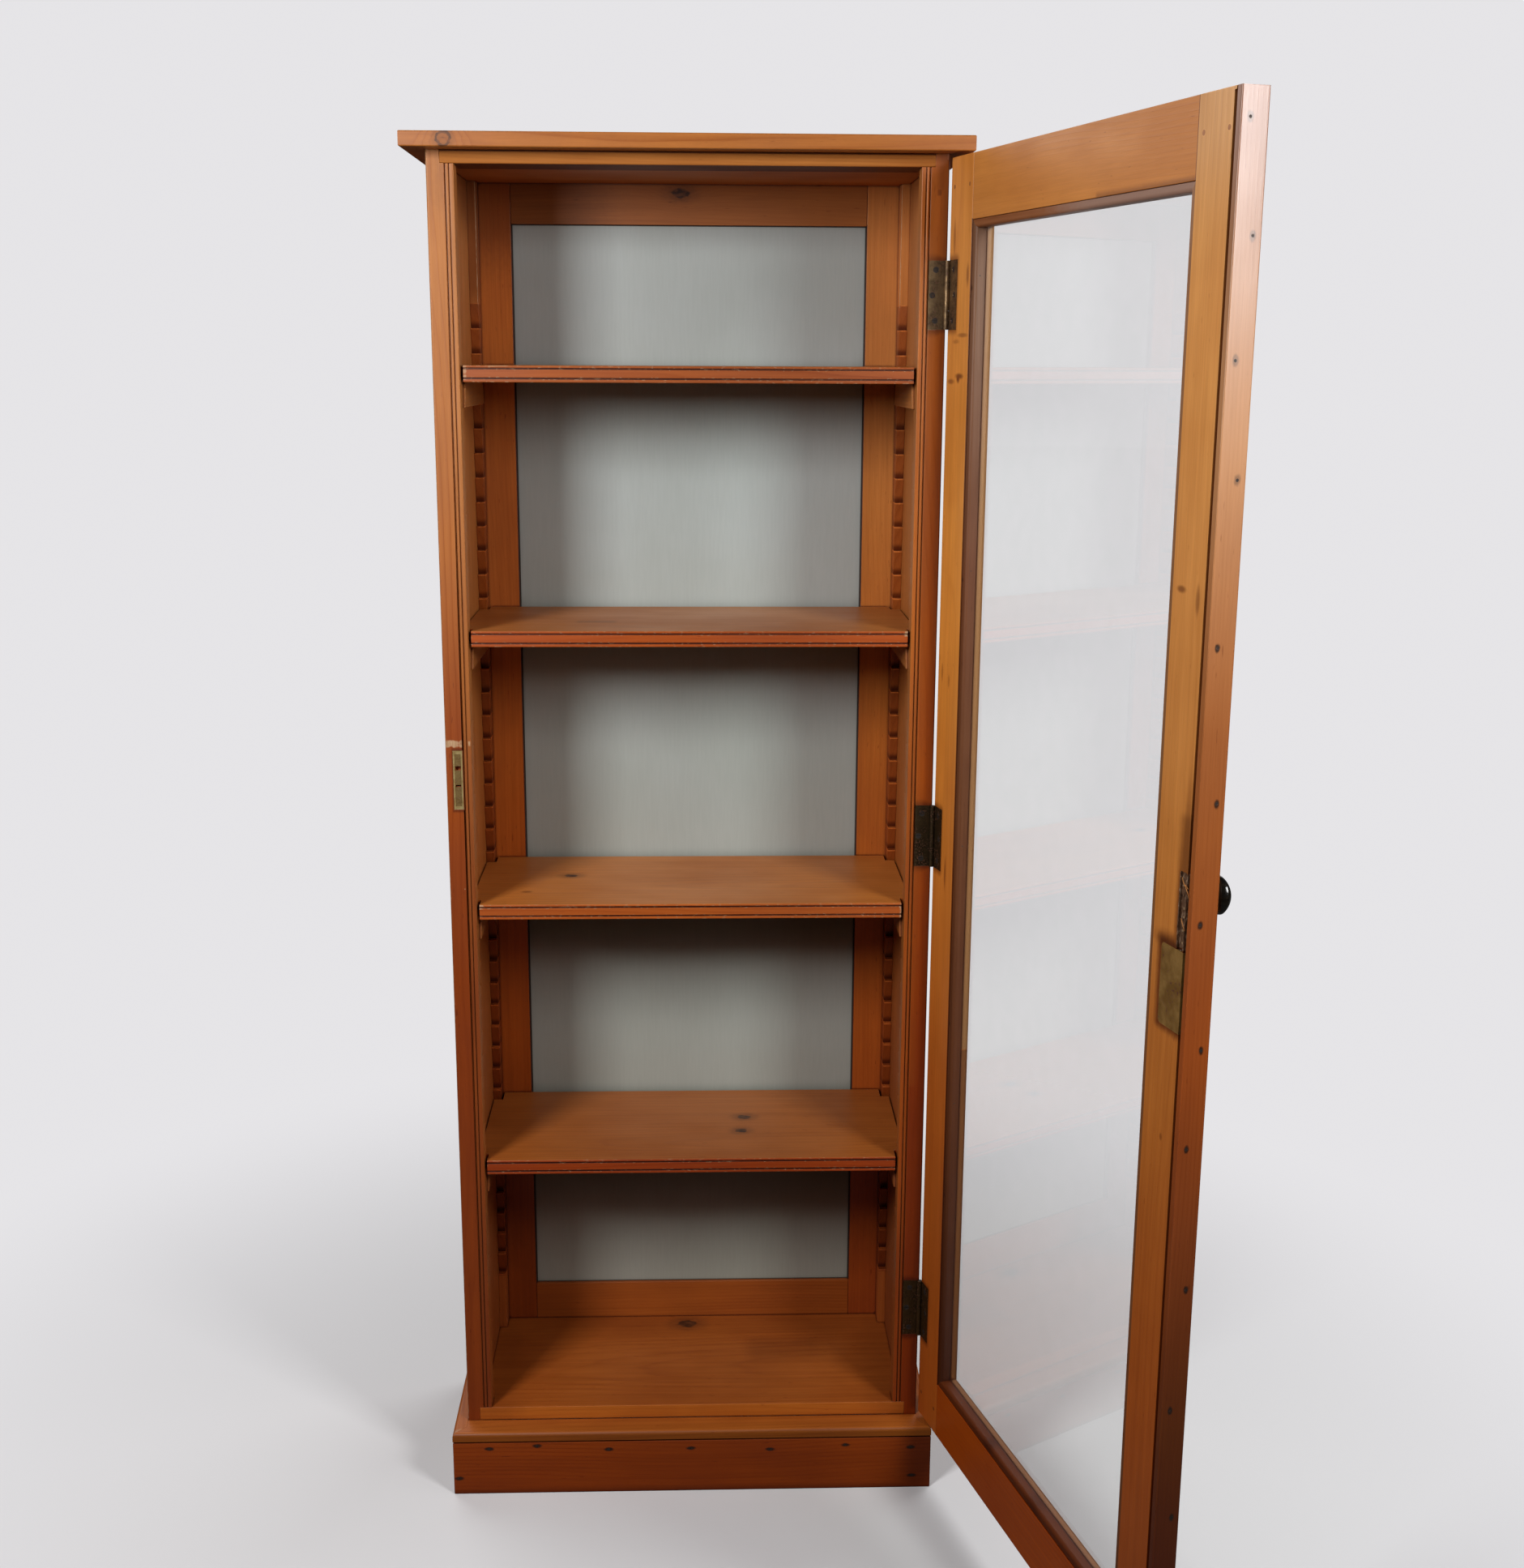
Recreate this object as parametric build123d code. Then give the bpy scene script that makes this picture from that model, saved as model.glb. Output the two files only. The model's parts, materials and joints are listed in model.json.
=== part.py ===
from build123d import *
import os

# Tall pine display cabinet: one glazed lay-on door, four loose shelves on bearers, toothed racks.
# The origin is on the floor, in the middle of the width, in the plane of the carcass's front edges.
# +X is right for someone who faces the cabinet, +Y goes to its back and +Z is up. Millimetres.
# Inside the door, s runs from the hinge edge to the free edge and n from the inner face outwards.
# The door is written closed and then swung open about its hinge pins.

# Carcass
carcass_width = 585.0
carcass_depth = 243.0
overall_height = 1678.0
side_thickness = 20.5
side_edge_round = 2.0
top_thickness = 16.5
top_overhang_side = 25.0
top_overhang_front = 31.0
top_edge_round = 1.5
head_board_thickness = 14.5
head_edge_round = 1.5
floor_thickness = 18.0
board_housing = 5.0

# Plinth
plinth_board_height = 73.0
plinth_board_thickness = 16.5
plinth_front_reach = 31.0
packer_lap = 8.0
moulding_height = 14.0
moulding_lip = 0.3
moulding_nose_radius = 5.0
moulding_quirk_height = 2.0
moulding_quirk_depth = 4.5

# Toothed racks and bearers
rack_thickness = 10.5
rack_depth = 25.0
rack_plain_bottom = 82.0
rack_plain_top = 142.0
tooth_pitch = 30.6
tooth_depth = 8.0
tooth_land = 1.0
rack_quirk_width = 1.5
rack_quirk_depth = 2.2
rack_bead_width = 3.0
bearer_head_room = 1.0
bearer_proud = 3.0
bearer_clearance = 0.3

# Shelves, from the top one down, as shares of the toothed height that their ledges are at
shelf_places = (0.929, 0.690, 0.429, 0.167)
shelf_thickness = 19.0
shelf_setback = 5.0
shelf_end_clearance = 3.0
shelf_side_clearance = 1.5
shelf_notch_clearance = 1.0
shelf_back_clearance = 1.0
shelf_quirk_width = 1.8
shelf_quirk_depth = 1.5
shelf_upper_lip = 2.6
shelf_lower_lip = 3.6
shelf_edge_round = 1.2

# Back frame and panel
back_frame_thickness = 18.0
back_rebate = 10.0
back_stile_width = 60.5
back_top_rail_height = 63.0
back_bottom_rail_height = 71.5
back_panel_thickness = 5.0
back_groove_depth = 8.0
back_groove_setback = 6.0
back_panel_clearance = 1.0
back_tenon_length = 28.0
back_tenon_shoulder = 12.0

# Door
door_open_angle = 105.6
door_thickness = 27.0
door_overlap_left = 4.0
door_gap_above = 4.5
door_gap_below = 7.0
hinge_stile_width = 59.0
lock_stile_width = 57.0
door_top_rail_height = 70.0
door_bottom_rail_height = 72.0
rebate_width = 8.0
glass_thickness = 2.5
glass_edge_clearance = 1.0
bead_width = 9.0
bead_depth = 13.0
bead_setback = 1.0
bead_inner_round = 4.0
bead_outer_round = 1.0
door_moulding_radius = 6.0
tenon_thickness = 9.0
tenon_setback = 9.0
tenon_shoulder = 10.0
peg_diameter = 5.0
peg_inset = 9.0
peg_rise = 32.0

# Closing strip on the door's free edge
closing_strip_thickness = 7.5
closing_strip_step = 0.5
closing_strip_round = 1.5
strip_quirk_width = 3.0
strip_quirk_depth = 3.5
strip_nail_shares = (0.016, 0.076, 0.141, 0.205, 0.298, 0.388, 0.460,
                     0.538, 0.600, 0.693, 0.774, 0.850, 0.916, 0.985)
strip_nail_depths = (9.6, 18.8)

# Butt hinges
top_hinge_drop = 149.0
bottom_hinge_rise = 147.0
middle_hinge_drop = 2.5
hinge_length = 76.0
leaf_thickness = 2.0
door_leaf_reach = 24.0
knuckle_radius = 3.4
knuckle_clearance = 0.3
middle_knuckle_length = 34.0
knuckle_end_clearance = 0.25
pin_radius = 1.7
pin_running_clearance = 0.05
pin_outside_side = 0.5
pin_before_carcass = 1.2
pin_to_door_face = 1.6
pin_to_door_edge = 1.5
outer_screw_reach = 12.8
middle_screw_reach = 16.5
outer_screw_rise = 28.0
screw_head_radius = 3.5
screw_shank_radius = 1.7
screw_head_depth = 1.8
screw_length = 16.0
screw_slot_width = 0.9
screw_slot_depth = 0.6

# Lock, the old lock's recess, strike plate and knob
lock_drop = 6.0
lock_height = 79.0
lock_plate_width = 37.5
lock_plate_thickness = 2.0
lock_plate_corner = 5.0
lock_depth = 13.0
lock_case_inset = 5.0
lock_case_wall = 1.5
lock_recess_clearance = 0.3
bolt_height = 14.0
bolt_thickness = 6.0
bolt_length = 24.0
bolt_clearance = 0.3
bolt_top_margin = 4.5
key_pin_radius = 1.6
key_pin_below_bolt = 8.0
key_pin_inset = 14.5
old_recess_width = 9.8
old_recess_height = 75.0
old_recess_depth = 3.0
old_recess_rim = 1.7
strike_rise = 67.5
strike_height = 72.0
strike_width = 11.5
strike_thickness = 1.6
strike_inset = 0.5
strike_rim = 1.9
strike_dish = 0.6
strike_slot_width = 6.8
strike_slot_depth = 7.0
upper_slot_height = 5.5
lower_slot_height = 3.0
strike_slot_gap = 17.4
knob_rise = 81.5
knob_inset = 26.0
knob_radius = 18.9
knob_reach = 25.5
knob_foot_radius = 9.0
knob_neck_radius = 7.6
knob_neck_length = 5.0
knob_spigot_radius = 5.5
knob_spigot_length = 19.0

# Nails and pins
nail_radius = 1.5
plinth_nail_length = 24.0
plinth_nail_shares = (
    (-0.977, 0.31), (-0.850, 0.885), (-0.650, 0.930), (-0.353, 0.846), (-0.010, 0.845),
    (0.323, 0.804), (0.640, 0.865), (0.915, 0.804), (0.922, 0.24),
)
strip_nail_length = 26.0
back_nail_length = 26.0
back_nail_inset = 6.0
back_nail_end = 40.0
back_nail_count = 6
bead_pin_radius = 0.8
bead_pin_length = 15.0
bead_pin_spacing = 330.0
bead_pin_end = 60.0

# Places that follow from the sizes
half_width = carcass_width / 2
side_inner = half_width - side_thickness
rack_inner = side_inner - rack_thickness
floor_underside = plinth_board_height + moulding_height
floor_top = floor_underside + floor_thickness
top_underside = overall_height - top_thickness
ceiling = top_underside - head_board_thickness
plinth_half_width = half_width + plinth_board_thickness
plinth_inner_front = plinth_board_thickness - plinth_front_reach

lowest_ledge = floor_top + rack_plain_bottom
tooth_count = int((ceiling - rack_plain_top - lowest_ledge) / tooth_pitch)
tooth_rise = tooth_pitch - tooth_land
bearer_height = tooth_rise - bearer_head_room
ledges = [lowest_ledge + tooth_pitch * round(share * (tooth_count - 1)) for share in shelf_places]

back_frame_front = carcass_depth - back_frame_thickness
rear_rack_front = back_frame_front - rack_depth
back_frame_half = side_inner + back_rebate
back_opening_half = back_frame_half - back_stile_width
back_opening_bottom = floor_underside + back_bottom_rail_height
back_opening_top = top_underside - back_top_rail_height
back_groove_front = back_frame_front + back_groove_setback
back_groove_back = back_groove_front + back_panel_thickness

pin_x = half_width + pin_outside_side
pin_y = -pin_before_carcass
door_edge_x = pin_x - pin_to_door_edge
door_face_y = pin_y - pin_to_door_face
door_bottom = floor_underside + door_gap_below
door_top = top_underside - door_gap_above
door_height = door_top - door_bottom
door_middle = door_bottom + door_height / 2
strip_outer = door_edge_x + half_width + door_overlap_left
frame_width = strip_outer - closing_strip_thickness
quirk_start = frame_width - strip_quirk_width
lock_stile_start = frame_width - lock_stile_width
opening_bottom = door_bottom + door_bottom_rail_height
opening_top = door_top - door_top_rail_height
glass_inner = bead_setback + bead_depth
rebate_depth = glass_inner + glass_thickness

top_hinge = door_top - top_hinge_drop
bottom_hinge = door_bottom + bottom_hinge_rise
middle_hinge = (top_hinge + bottom_hinge) / 2 - middle_hinge_drop
hinge_heights = (top_hinge, middle_hinge, bottom_hinge)
carcass_leaf_reach = side_thickness + pin_outside_side

lock_centre = door_middle - lock_drop
lock_bottom = lock_centre - lock_height / 2
lock_top = lock_centre + lock_height / 2
bolt_top = lock_top - lock_case_inset - lock_case_wall - bolt_top_margin
bolt_bottom = bolt_top - bolt_height
knob_s = strip_outer - knob_inset
knob_z = door_middle + knob_rise
strike_outer = side_inner + strike_inset + strike_width
strike_bottom = door_middle + strike_rise - strike_height / 2
upper_slot = door_middle + strike_rise + strike_height / 5
lower_slot = upper_slot - upper_slot_height / 2 - strike_slot_gap - lower_slot_height / 2

nodes = {}


def slab(x0, x1, y0, y1, z0, z1):
    """A box between two values on each axis."""
    size = Box(abs(x1 - x0), abs(y1 - y0), abs(z1 - z0))
    return Pos((x0 + x1) / 2, (y0 + y1) / 2, (z0 + z1) / 2) * size


def rod_x(y, z, x0, x1, radius):
    return Pos((x0 + x1) / 2, y, z) * Rot(0, 90, 0) * Cylinder(radius, abs(x1 - x0))


def rod_y(x, z, y0, y1, radius):
    return Pos(x, (y0 + y1) / 2, z) * Rot(90, 0, 0) * Cylinder(radius, abs(y1 - y0))


def rod_z(x, y, z0, z1, radius):
    return Pos(x, y, (z0 + z1) / 2) * Cylinder(radius, abs(z1 - z0))


def upright_prism(points, z0, z1):
    """A prism over (x, y) points from z0 up to z1."""
    outline = make_face(Polyline(*points, close=True))
    return Pos(0, 0, z0) * extrude(outline, z1 - z0, dir=(0, 0, 1))


def side_prism(points, x, length):
    """A prism over (y, z) points that runs inwards from x."""
    outline = make_face(Polyline(*[(x, y, z) for y, z in points], close=True))
    return extrude(outline, length, dir=(-1, 0, 0))


def mirrored(shape):
    """The same piece on the other side of the cabinet."""
    return mirror(shape, about=Plane.YZ)


def without(shape, cutters):
    """The shape with every cutter taken away."""
    for cutter in cutters:
        shape = shape - cutter
    return shape


def straight_edges(shape, axis, test):
    """Edges of the shape along one axis whose middle passes a test."""
    return [edge for edge in shape.edges().filter_by(axis) if test(edge.center())]


# Carcass boards


def make_top_board():
    reach = half_width + top_overhang_side
    board = slab(-reach, reach, -top_overhang_front, carcass_depth, top_underside, overall_height)
    front = straight_edges(board, Axis.X, lambda c: c.Y < 0)
    ends = straight_edges(board, Axis.Y, lambda c: True)
    return fillet(front + ends, top_edge_round)


def make_head_board():
    reach = side_inner + board_housing
    board = slab(-reach, reach, 0, back_frame_front, ceiling, top_underside)
    arris = straight_edges(board, Axis.X, lambda c: c.Y < 1 and c.Z < top_underside - 1)
    return fillet(arris, head_edge_round)


def make_floor_board():
    reach = side_inner + board_housing
    return slab(-reach, reach, 0, back_frame_front, floor_underside, floor_top)


def make_side():
    """A plain right side with the housings, the back rebate and the nails' holes."""
    side = slab(side_inner, half_width, 0, carcass_depth, 0, top_underside)
    arris = straight_edges(side, Axis.Z, lambda c: c.Y < 0.1 and c.X > half_width - 0.1)
    side = fillet(arris, side_edge_round)
    housing = side_inner + board_housing
    side -= slab(side_inner, housing, 0, back_frame_front, floor_underside, floor_top)
    side -= slab(side_inner, back_frame_half, back_frame_front, carcass_depth,
                 floor_underside, top_underside)
    side -= slab(side_inner, housing, 0, back_frame_front, ceiling, top_underside)
    return without(side, back_nails())


def make_right_side():
    side = without(make_side() - nodes["head_board"], carcass_screws(slotted=False))
    for height in hinge_heights:
        low, high = height - hinge_length / 2, height + hinge_length / 2
        side -= slab(pin_x - carcass_leaf_reach, half_width, 0, leaf_thickness, low, high)
        side -= rod_z(pin_x, pin_y, low, high, knuckle_radius + knuckle_clearance)
    return side


def make_left_side():
    side = mirrored(make_side())
    side -= slab(-strike_outer, strike_width - strike_outer, 0, strike_thickness,
                 strike_bottom, strike_bottom + strike_height)
    return without(side, strike_slots(strike_slot_depth))


# Plinth


def plinth_nails():
    return [rod_y(across * plinth_half_width, up * plinth_board_height,
                  -plinth_front_reach, plinth_nail_length - plinth_front_reach, nail_radius)
            for across, up in plinth_nail_shares]


def side_run(outer, front):
    """Plan of the right-hand return of the plinth, mitred at its front."""
    mitre_end = front + outer - half_width
    return ((outer, front), (outer, carcass_depth), (half_width, carcass_depth),
            (half_width, mitre_end))


def make_plinth():
    outer, front = plinth_half_width, -plinth_front_reach
    front_plan = ((-outer, front), (outer, front), (half_width, plinth_inner_front),
                  (-half_width, plinth_inner_front))
    front_board = upright_prism(front_plan, 0, plinth_board_height)
    right_board = upright_prism(side_run(outer, front), 0, plinth_board_height)
    packer = slab(-half_width, half_width, plinth_inner_front, 0, 0, plinth_board_height)
    packer += slab(-side_inner, side_inner, plinth_inner_front, packer_lap, 0, plinth_board_height)
    nodes["plinth_front"] = without(front_board, plinth_nails())
    nodes["plinth_right"] = without(right_board, plinth_nails())
    nodes["plinth_left"] = without(mirrored(right_board), plinth_nails())
    nodes["plinth_packer"] = without(packer, plinth_nails())
    nodes["plinth_nails"] = Compound(children=plinth_nails())


def make_plinth_moulding():
    """The rounded cap of the plinth, made as one run and sawn at its mitres."""
    outer = plinth_half_width + moulding_lip
    front = -plinth_front_reach - moulding_lip
    low, high = plinth_board_height, floor_underside
    run = slab(-outer, outer, front, carcass_depth, low, high)
    nose = straight_edges(run, Axis.X, lambda c: c.Y < front + 1 and c.Z > high - 1)
    nose += straight_edges(run, Axis.Y, lambda c: c.Z > high - 1)
    run = fillet(nose, moulding_nose_radius)
    run -= slab(-half_width, half_width, 0, carcass_depth, low, high)
    quirk_top = low + moulding_quirk_height
    quirk = slab(-outer, outer, front, carcass_depth, low, quirk_top)
    quirk -= slab(moulding_quirk_depth - outer, outer - moulding_quirk_depth,
                  front + moulding_quirk_depth, carcass_depth, low, quirk_top)
    run -= quirk
    right = upright_prism(side_run(outer, front), low, high)
    nodes["plinth_moulding_front"] = run - right - mirrored(right)
    nodes["plinth_moulding_right"] = run & right
    nodes["plinth_moulding_left"] = run & mirrored(right)


# Racks, bearers and shelves


def toothed_strip(face, direction):
    """A right-hand rack: its teeth are at Y = face and its body runs in the given direction."""
    points = [(0, floor_top), (rack_depth, floor_top), (rack_depth, ceiling), (0, ceiling)]
    for tooth in reversed(range(tooth_count)):
        ledge = lowest_ledge + tooth * tooth_pitch
        points += [(0, ledge + tooth_rise), (tooth_depth, ledge), (0, ledge)]
    outline = [(face + direction * depth, height) for depth, height in points]
    return side_prism(outline, side_inner, rack_thickness)


def make_front_rack():
    """The front rack, with a bead between two quirks down its front face."""
    rack = toothed_strip(rack_depth, -1)
    bead_outer = side_inner - rack_quirk_width
    bead_inner = bead_outer - rack_bead_width
    for start in (bead_outer, bead_inner - rack_quirk_width):
        rack -= slab(start, start + rack_quirk_width, 0, rack_quirk_depth, floor_top, ceiling)
    bead = straight_edges(
        rack, Axis.Z, lambda c: c.Y < 0.1 and bead_inner - 0.1 < c.X < bead_outer + 0.1)
    rack = fillet(bead, rack_bead_width * 0.4)
    arris = straight_edges(rack, Axis.Z, lambda c: c.Y < 0.1 and c.X < rack_inner + 0.1)
    return fillet(arris, rack_bead_width * 0.4)


def make_bearer(ledge):
    """A right-hand bearer: a loose bar whose slanted ends stand on a ledge of each rack."""
    high = ledge + bearer_height
    lean = tooth_depth * bearer_height / tooth_rise
    front = rack_depth - tooth_depth + bearer_clearance
    back = rear_rack_front + tooth_depth - bearer_clearance
    outline = ((front, ledge), (back, ledge), (back - lean, high), (front + lean, high))
    length = rack_thickness + bearer_proud - bearer_clearance
    return side_prism(outline, side_inner - bearer_clearance, length)


def make_shelf(ledge):
    """A loose shelf, notched round the racks, with a quirked front edge."""
    low = ledge + bearer_height
    high = low + shelf_thickness
    narrow = rack_inner - shelf_end_clearance
    wide = side_inner - shelf_side_clearance
    back = back_frame_front - shelf_back_clearance
    shelf = slab(-narrow, narrow, shelf_setback, back, low, high)
    shelf += slab(-wide, wide, rack_depth + shelf_notch_clearance,
                  rear_rack_front - shelf_notch_clearance, low, high)
    arrises = straight_edges(shelf, Axis.X, lambda c: c.Y < shelf_setback + 0.1)
    shelf = fillet(arrises, shelf_edge_round)
    for quirk in (low + shelf_lower_lip, high - shelf_upper_lip - shelf_quirk_width):
        shelf -= slab(-narrow, narrow, shelf_setback, shelf_setback + shelf_quirk_depth,
                      quirk, quirk + shelf_quirk_width)
    return shelf


# Back frame and panel


def back_nails():
    """The right-hand nails that hold the back frame in the side's rebate."""
    first, last = floor_underside + back_nail_end, top_underside - back_nail_end
    step = (last - first) / (back_nail_count - 1)
    return [rod_y(back_frame_half - back_nail_inset, first + step * i,
                  carcass_depth - back_nail_length, carcass_depth, nail_radius)
            for i in range(back_nail_count)]


def back_tongue(reach, low, high):
    return slab(-reach, reach, back_groove_front, back_groove_back, low, high)


def make_back_frame():
    """Stiles and rails, grooved for the panel and joined with tenons."""
    tenon_reach = back_opening_half + back_tenon_length
    lower = back_tongue(tenon_reach, floor_underside + back_tenon_shoulder,
                        back_opening_bottom - back_tenon_shoulder)
    upper = back_tongue(tenon_reach, back_opening_top + back_tenon_shoulder,
                        top_underside - back_tenon_shoulder)
    panel_room = back_tongue(back_opening_half + back_groove_depth,
                             back_opening_bottom - back_groove_depth,
                             back_opening_top + back_groove_depth)
    inner = back_opening_half
    bottom_rail = slab(-inner, inner, back_frame_front, carcass_depth,
                       floor_underside, back_opening_bottom)
    top_rail = slab(-inner, inner, back_frame_front, carcass_depth,
                    back_opening_top, top_underside)
    stile = slab(inner, back_frame_half, back_frame_front, carcass_depth,
                 floor_underside, top_underside)
    stile = without(stile, [lower, upper, panel_room, *back_nails()])
    nodes["back_stile_right"] = stile
    nodes["back_stile_left"] = mirrored(stile)
    nodes["back_bottom_rail"] = bottom_rail + lower - panel_room
    nodes["back_top_rail"] = top_rail + upper - panel_room
    nodes["back_panel"] = back_tongue(
        back_opening_half + back_groove_depth - back_panel_clearance,
        back_opening_bottom - back_groove_depth,
        back_opening_top + back_groove_depth - back_panel_clearance)
    both_sides = back_nails() + [mirrored(nail) for nail in back_nails()]
    nodes["back_nails"] = Compound(children=both_sides)


# Door frame


def door_slab(s0, s1, n0, n1, z0, z1):
    return slab(door_edge_x - s0, door_edge_x - s1, door_face_y - n0, door_face_y - n1, z0, z1)


def door_rod(s, z, n0, n1, radius):
    return rod_y(door_edge_x - s, z, door_face_y - n0, door_face_y - n1, radius)


def edge_rod(n, z, s0, s1, radius):
    return rod_x(door_face_y - n, z, door_edge_x - s0, door_edge_x - s1, radius)


def on_opening_arris(centre):
    """True for the arrises round the opening in the door's outer face."""
    s = door_edge_x - centre.X
    outside = abs(centre.Y - door_face_y + door_thickness) < 0.1
    across = hinge_stile_width < s < lock_stile_start
    return outside and across and opening_bottom < centre.Z < opening_top


def door_blank():
    """All four frame members in one, rebated inside and moulded outside."""
    blank = door_slab(0, frame_width, 0, door_thickness, door_bottom, door_top)
    blank -= door_slab(hinge_stile_width + rebate_width, lock_stile_start - rebate_width,
                       0, door_thickness, opening_bottom + rebate_width, opening_top - rebate_width)
    arrises = straight_edges(blank, Axis.Z, on_opening_arris)
    arrises += straight_edges(blank, Axis.X, on_opening_arris)
    blank = fillet(arrises, door_moulding_radius)
    return blank - door_slab(hinge_stile_width, lock_stile_start, 0, rebate_depth,
                             opening_bottom, opening_top)


def rail_room():
    """The space between the stiles, which is narrower behind the moulding."""
    wide = door_slab(hinge_stile_width, lock_stile_start, 0, rebate_depth, door_bottom, door_top)
    narrow = door_slab(hinge_stile_width + rebate_width, lock_stile_start - rebate_width,
                       rebate_depth, door_thickness, door_bottom, door_top)
    return wide + narrow


def door_tenons(z0, z1):
    """Both tenons of one rail, right through the stiles."""
    n0, n1 = tenon_setback, tenon_setback + tenon_thickness
    return [door_slab(0, hinge_stile_width + rebate_width, n0, n1, z0, z1),
            door_slab(lock_stile_start - rebate_width, frame_width, n0, n1, z0, z1)]


def door_pegs():
    """Two pegs in each corner joint."""
    widths = (peg_inset, hinge_stile_width - peg_inset,
              lock_stile_start + peg_inset, quirk_start - peg_diameter)
    heights = (door_bottom + peg_rise, door_top - peg_rise)
    return [door_rod(s, z, 0, door_thickness, peg_diameter / 2) for s in widths for z in heights]


def make_door_frame():
    room = rail_room()
    blank = door_blank()
    rails = blank & room
    stiles = blank - room
    low_tenons = door_tenons(door_bottom + tenon_shoulder, opening_bottom - tenon_shoulder)
    high_tenons = door_tenons(opening_top + tenon_shoulder, door_top - tenon_shoulder)
    lower = door_slab(0, frame_width, 0, door_thickness, door_bottom, door_middle)
    for name, rail, tenons in (("door_bottom_rail", rails & lower, low_tenons),
                               ("door_top_rail", rails - lower, high_tenons)):
        for tenon in tenons:
            rail += tenon
        nodes[name] = without(rail, door_pegs() + bead_pins() + strip_nails())
    stiles = without(stiles, low_tenons + high_tenons + door_pegs() + bead_pins())
    hinge_half = door_slab(0, frame_width / 2, 0, door_thickness, door_bottom, door_top)
    nodes["door_hinge_stile"] = let_in_hinges(stiles & hinge_half)
    nodes["door_lock_stile"] = let_in_lock(stiles - hinge_half)


def let_in_hinges(stile):
    for height in hinge_heights:
        low, high = height - hinge_length / 2, height + hinge_length / 2
        stile -= door_slab(0, door_leaf_reach - pin_to_door_edge, 0, leaf_thickness, low, high)
        stile -= rod_z(pin_x, pin_y, low, high, knuckle_radius + knuckle_clearance)
    return without(stile, door_screws(slotted=False))


def let_in_lock(stile):
    """Cuts the quirk, the lock's bed, the old recess and the knob's and the nails' holes."""
    stile -= door_slab(quirk_start, frame_width, 0, strip_quirk_depth,
                       door_bottom, door_top - strip_quirk_width)
    stile -= door_slab(quirk_start - lock_plate_thickness, frame_width, 0, lock_depth,
                       lock_bottom, lock_top)
    stile -= lock_back_plate()
    stile -= lock_room(lock_recess_clearance)
    recess_end = quirk_start - old_recess_rim
    stile -= door_slab(recess_end - old_recess_width, recess_end, 0, old_recess_depth,
                       lock_top, lock_top + old_recess_height)
    stile -= door_rod(knob_s, knob_z, door_thickness - knob_spigot_length, door_thickness,
                      knob_spigot_radius)
    return without(stile, strip_nails())


# Glass and glazing beads


def make_glass():
    return door_slab(hinge_stile_width + glass_edge_clearance,
                     lock_stile_start - glass_edge_clearance, glass_inner, rebate_depth,
                     opening_bottom + glass_edge_clearance, opening_top - glass_edge_clearance)


def on_bead_arris(centre, inner):
    """True for the inner, or else the outer, arrises of the beads' exposed face."""
    s = door_edge_x - centre.X
    middle = bead_width / 2
    deep = (hinge_stile_width + middle < s < lock_stile_start - middle
            and opening_bottom + middle < centre.Z < opening_top - middle)
    return abs(centre.Y - door_face_y + bead_setback) < 0.1 and deep == inner


def bead_zone(s, inward):
    """The space of one upright bead between its mitres."""
    corners = ((s, opening_bottom), (s + inward * bead_width, opening_bottom + bead_width),
               (s + inward * bead_width, opening_top - bead_width), (s, opening_top))
    points = [(door_edge_x - across, door_face_y - bead_setback, z) for across, z in corners]
    return extrude(make_face(Polyline(*points, close=True)), bead_depth, dir=(0, -1, 0))


def make_glazing_beads():
    """Four mitred beads that hold the glass, made as one ring and sawn at the corners."""
    s0, s1 = hinge_stile_width, lock_stile_start
    z0, z1 = opening_bottom, opening_top
    ring = door_slab(s0, s1, bead_setback, glass_inner, z0, z1)
    ring -= door_slab(s0 + bead_width, s1 - bead_width, bead_setback, glass_inner,
                      z0 + bead_width, z1 - bead_width)
    for inner, radius in ((True, bead_inner_round), (False, bead_outer_round)):
        edges = straight_edges(ring, Axis.X, lambda c: on_bead_arris(c, inner))
        edges += straight_edges(ring, Axis.Z, lambda c: on_bead_arris(c, inner))
        ring = fillet(edges, radius)
    ring = without(ring, bead_pins())
    hinge_zone, lock_zone = bead_zone(s0, 1), bead_zone(s1, -1)
    lower = door_slab(s0, s1, bead_setback, glass_inner, z0, door_middle)
    level = ring - hinge_zone - lock_zone
    nodes["glazing_bead_hinge_side"] = ring & hinge_zone
    nodes["glazing_bead_lock_side"] = ring & lock_zone
    nodes["glazing_bead_bottom"] = level & lower
    nodes["glazing_bead_top"] = level - lower


def spaced(low, high):
    """Even places from low to high, kept in from both ends."""
    first, last = low + bead_pin_end, high - bead_pin_end
    steps = max(1, round((last - first) / bead_pin_spacing))
    return [first + (last - first) * i / steps for i in range(steps + 1)]


def bead_pins():
    """Fine pins through the beads into the stiles and rails."""
    n = bead_setback + bead_depth / 2
    near, far = hinge_stile_width + bead_width, lock_stile_start - bead_width
    low, high = opening_bottom + bead_width, opening_top - bead_width
    pins = []
    for z in spaced(opening_bottom, opening_top):
        pins.append(edge_rod(n, z, near, near - bead_pin_length, bead_pin_radius))
        pins.append(edge_rod(n, z, far, far + bead_pin_length, bead_pin_radius))
    for s in spaced(hinge_stile_width, lock_stile_start):
        x, y = door_edge_x - s, door_face_y - n
        pins.append(rod_z(x, y, low - bead_pin_length, low, bead_pin_radius))
        pins.append(rod_z(x, y, high, high + bead_pin_length, bead_pin_radius))
    return pins


# Closing strip


def strip_nails():
    """Nails through the strip into the lock stile, staggered in two rows."""
    return [edge_rod(strip_nail_depths[i % 2], door_top - share * door_height,
                     strip_outer, strip_outer - strip_nail_length, nail_radius)
            for i, share in enumerate(strip_nail_shares)]


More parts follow.
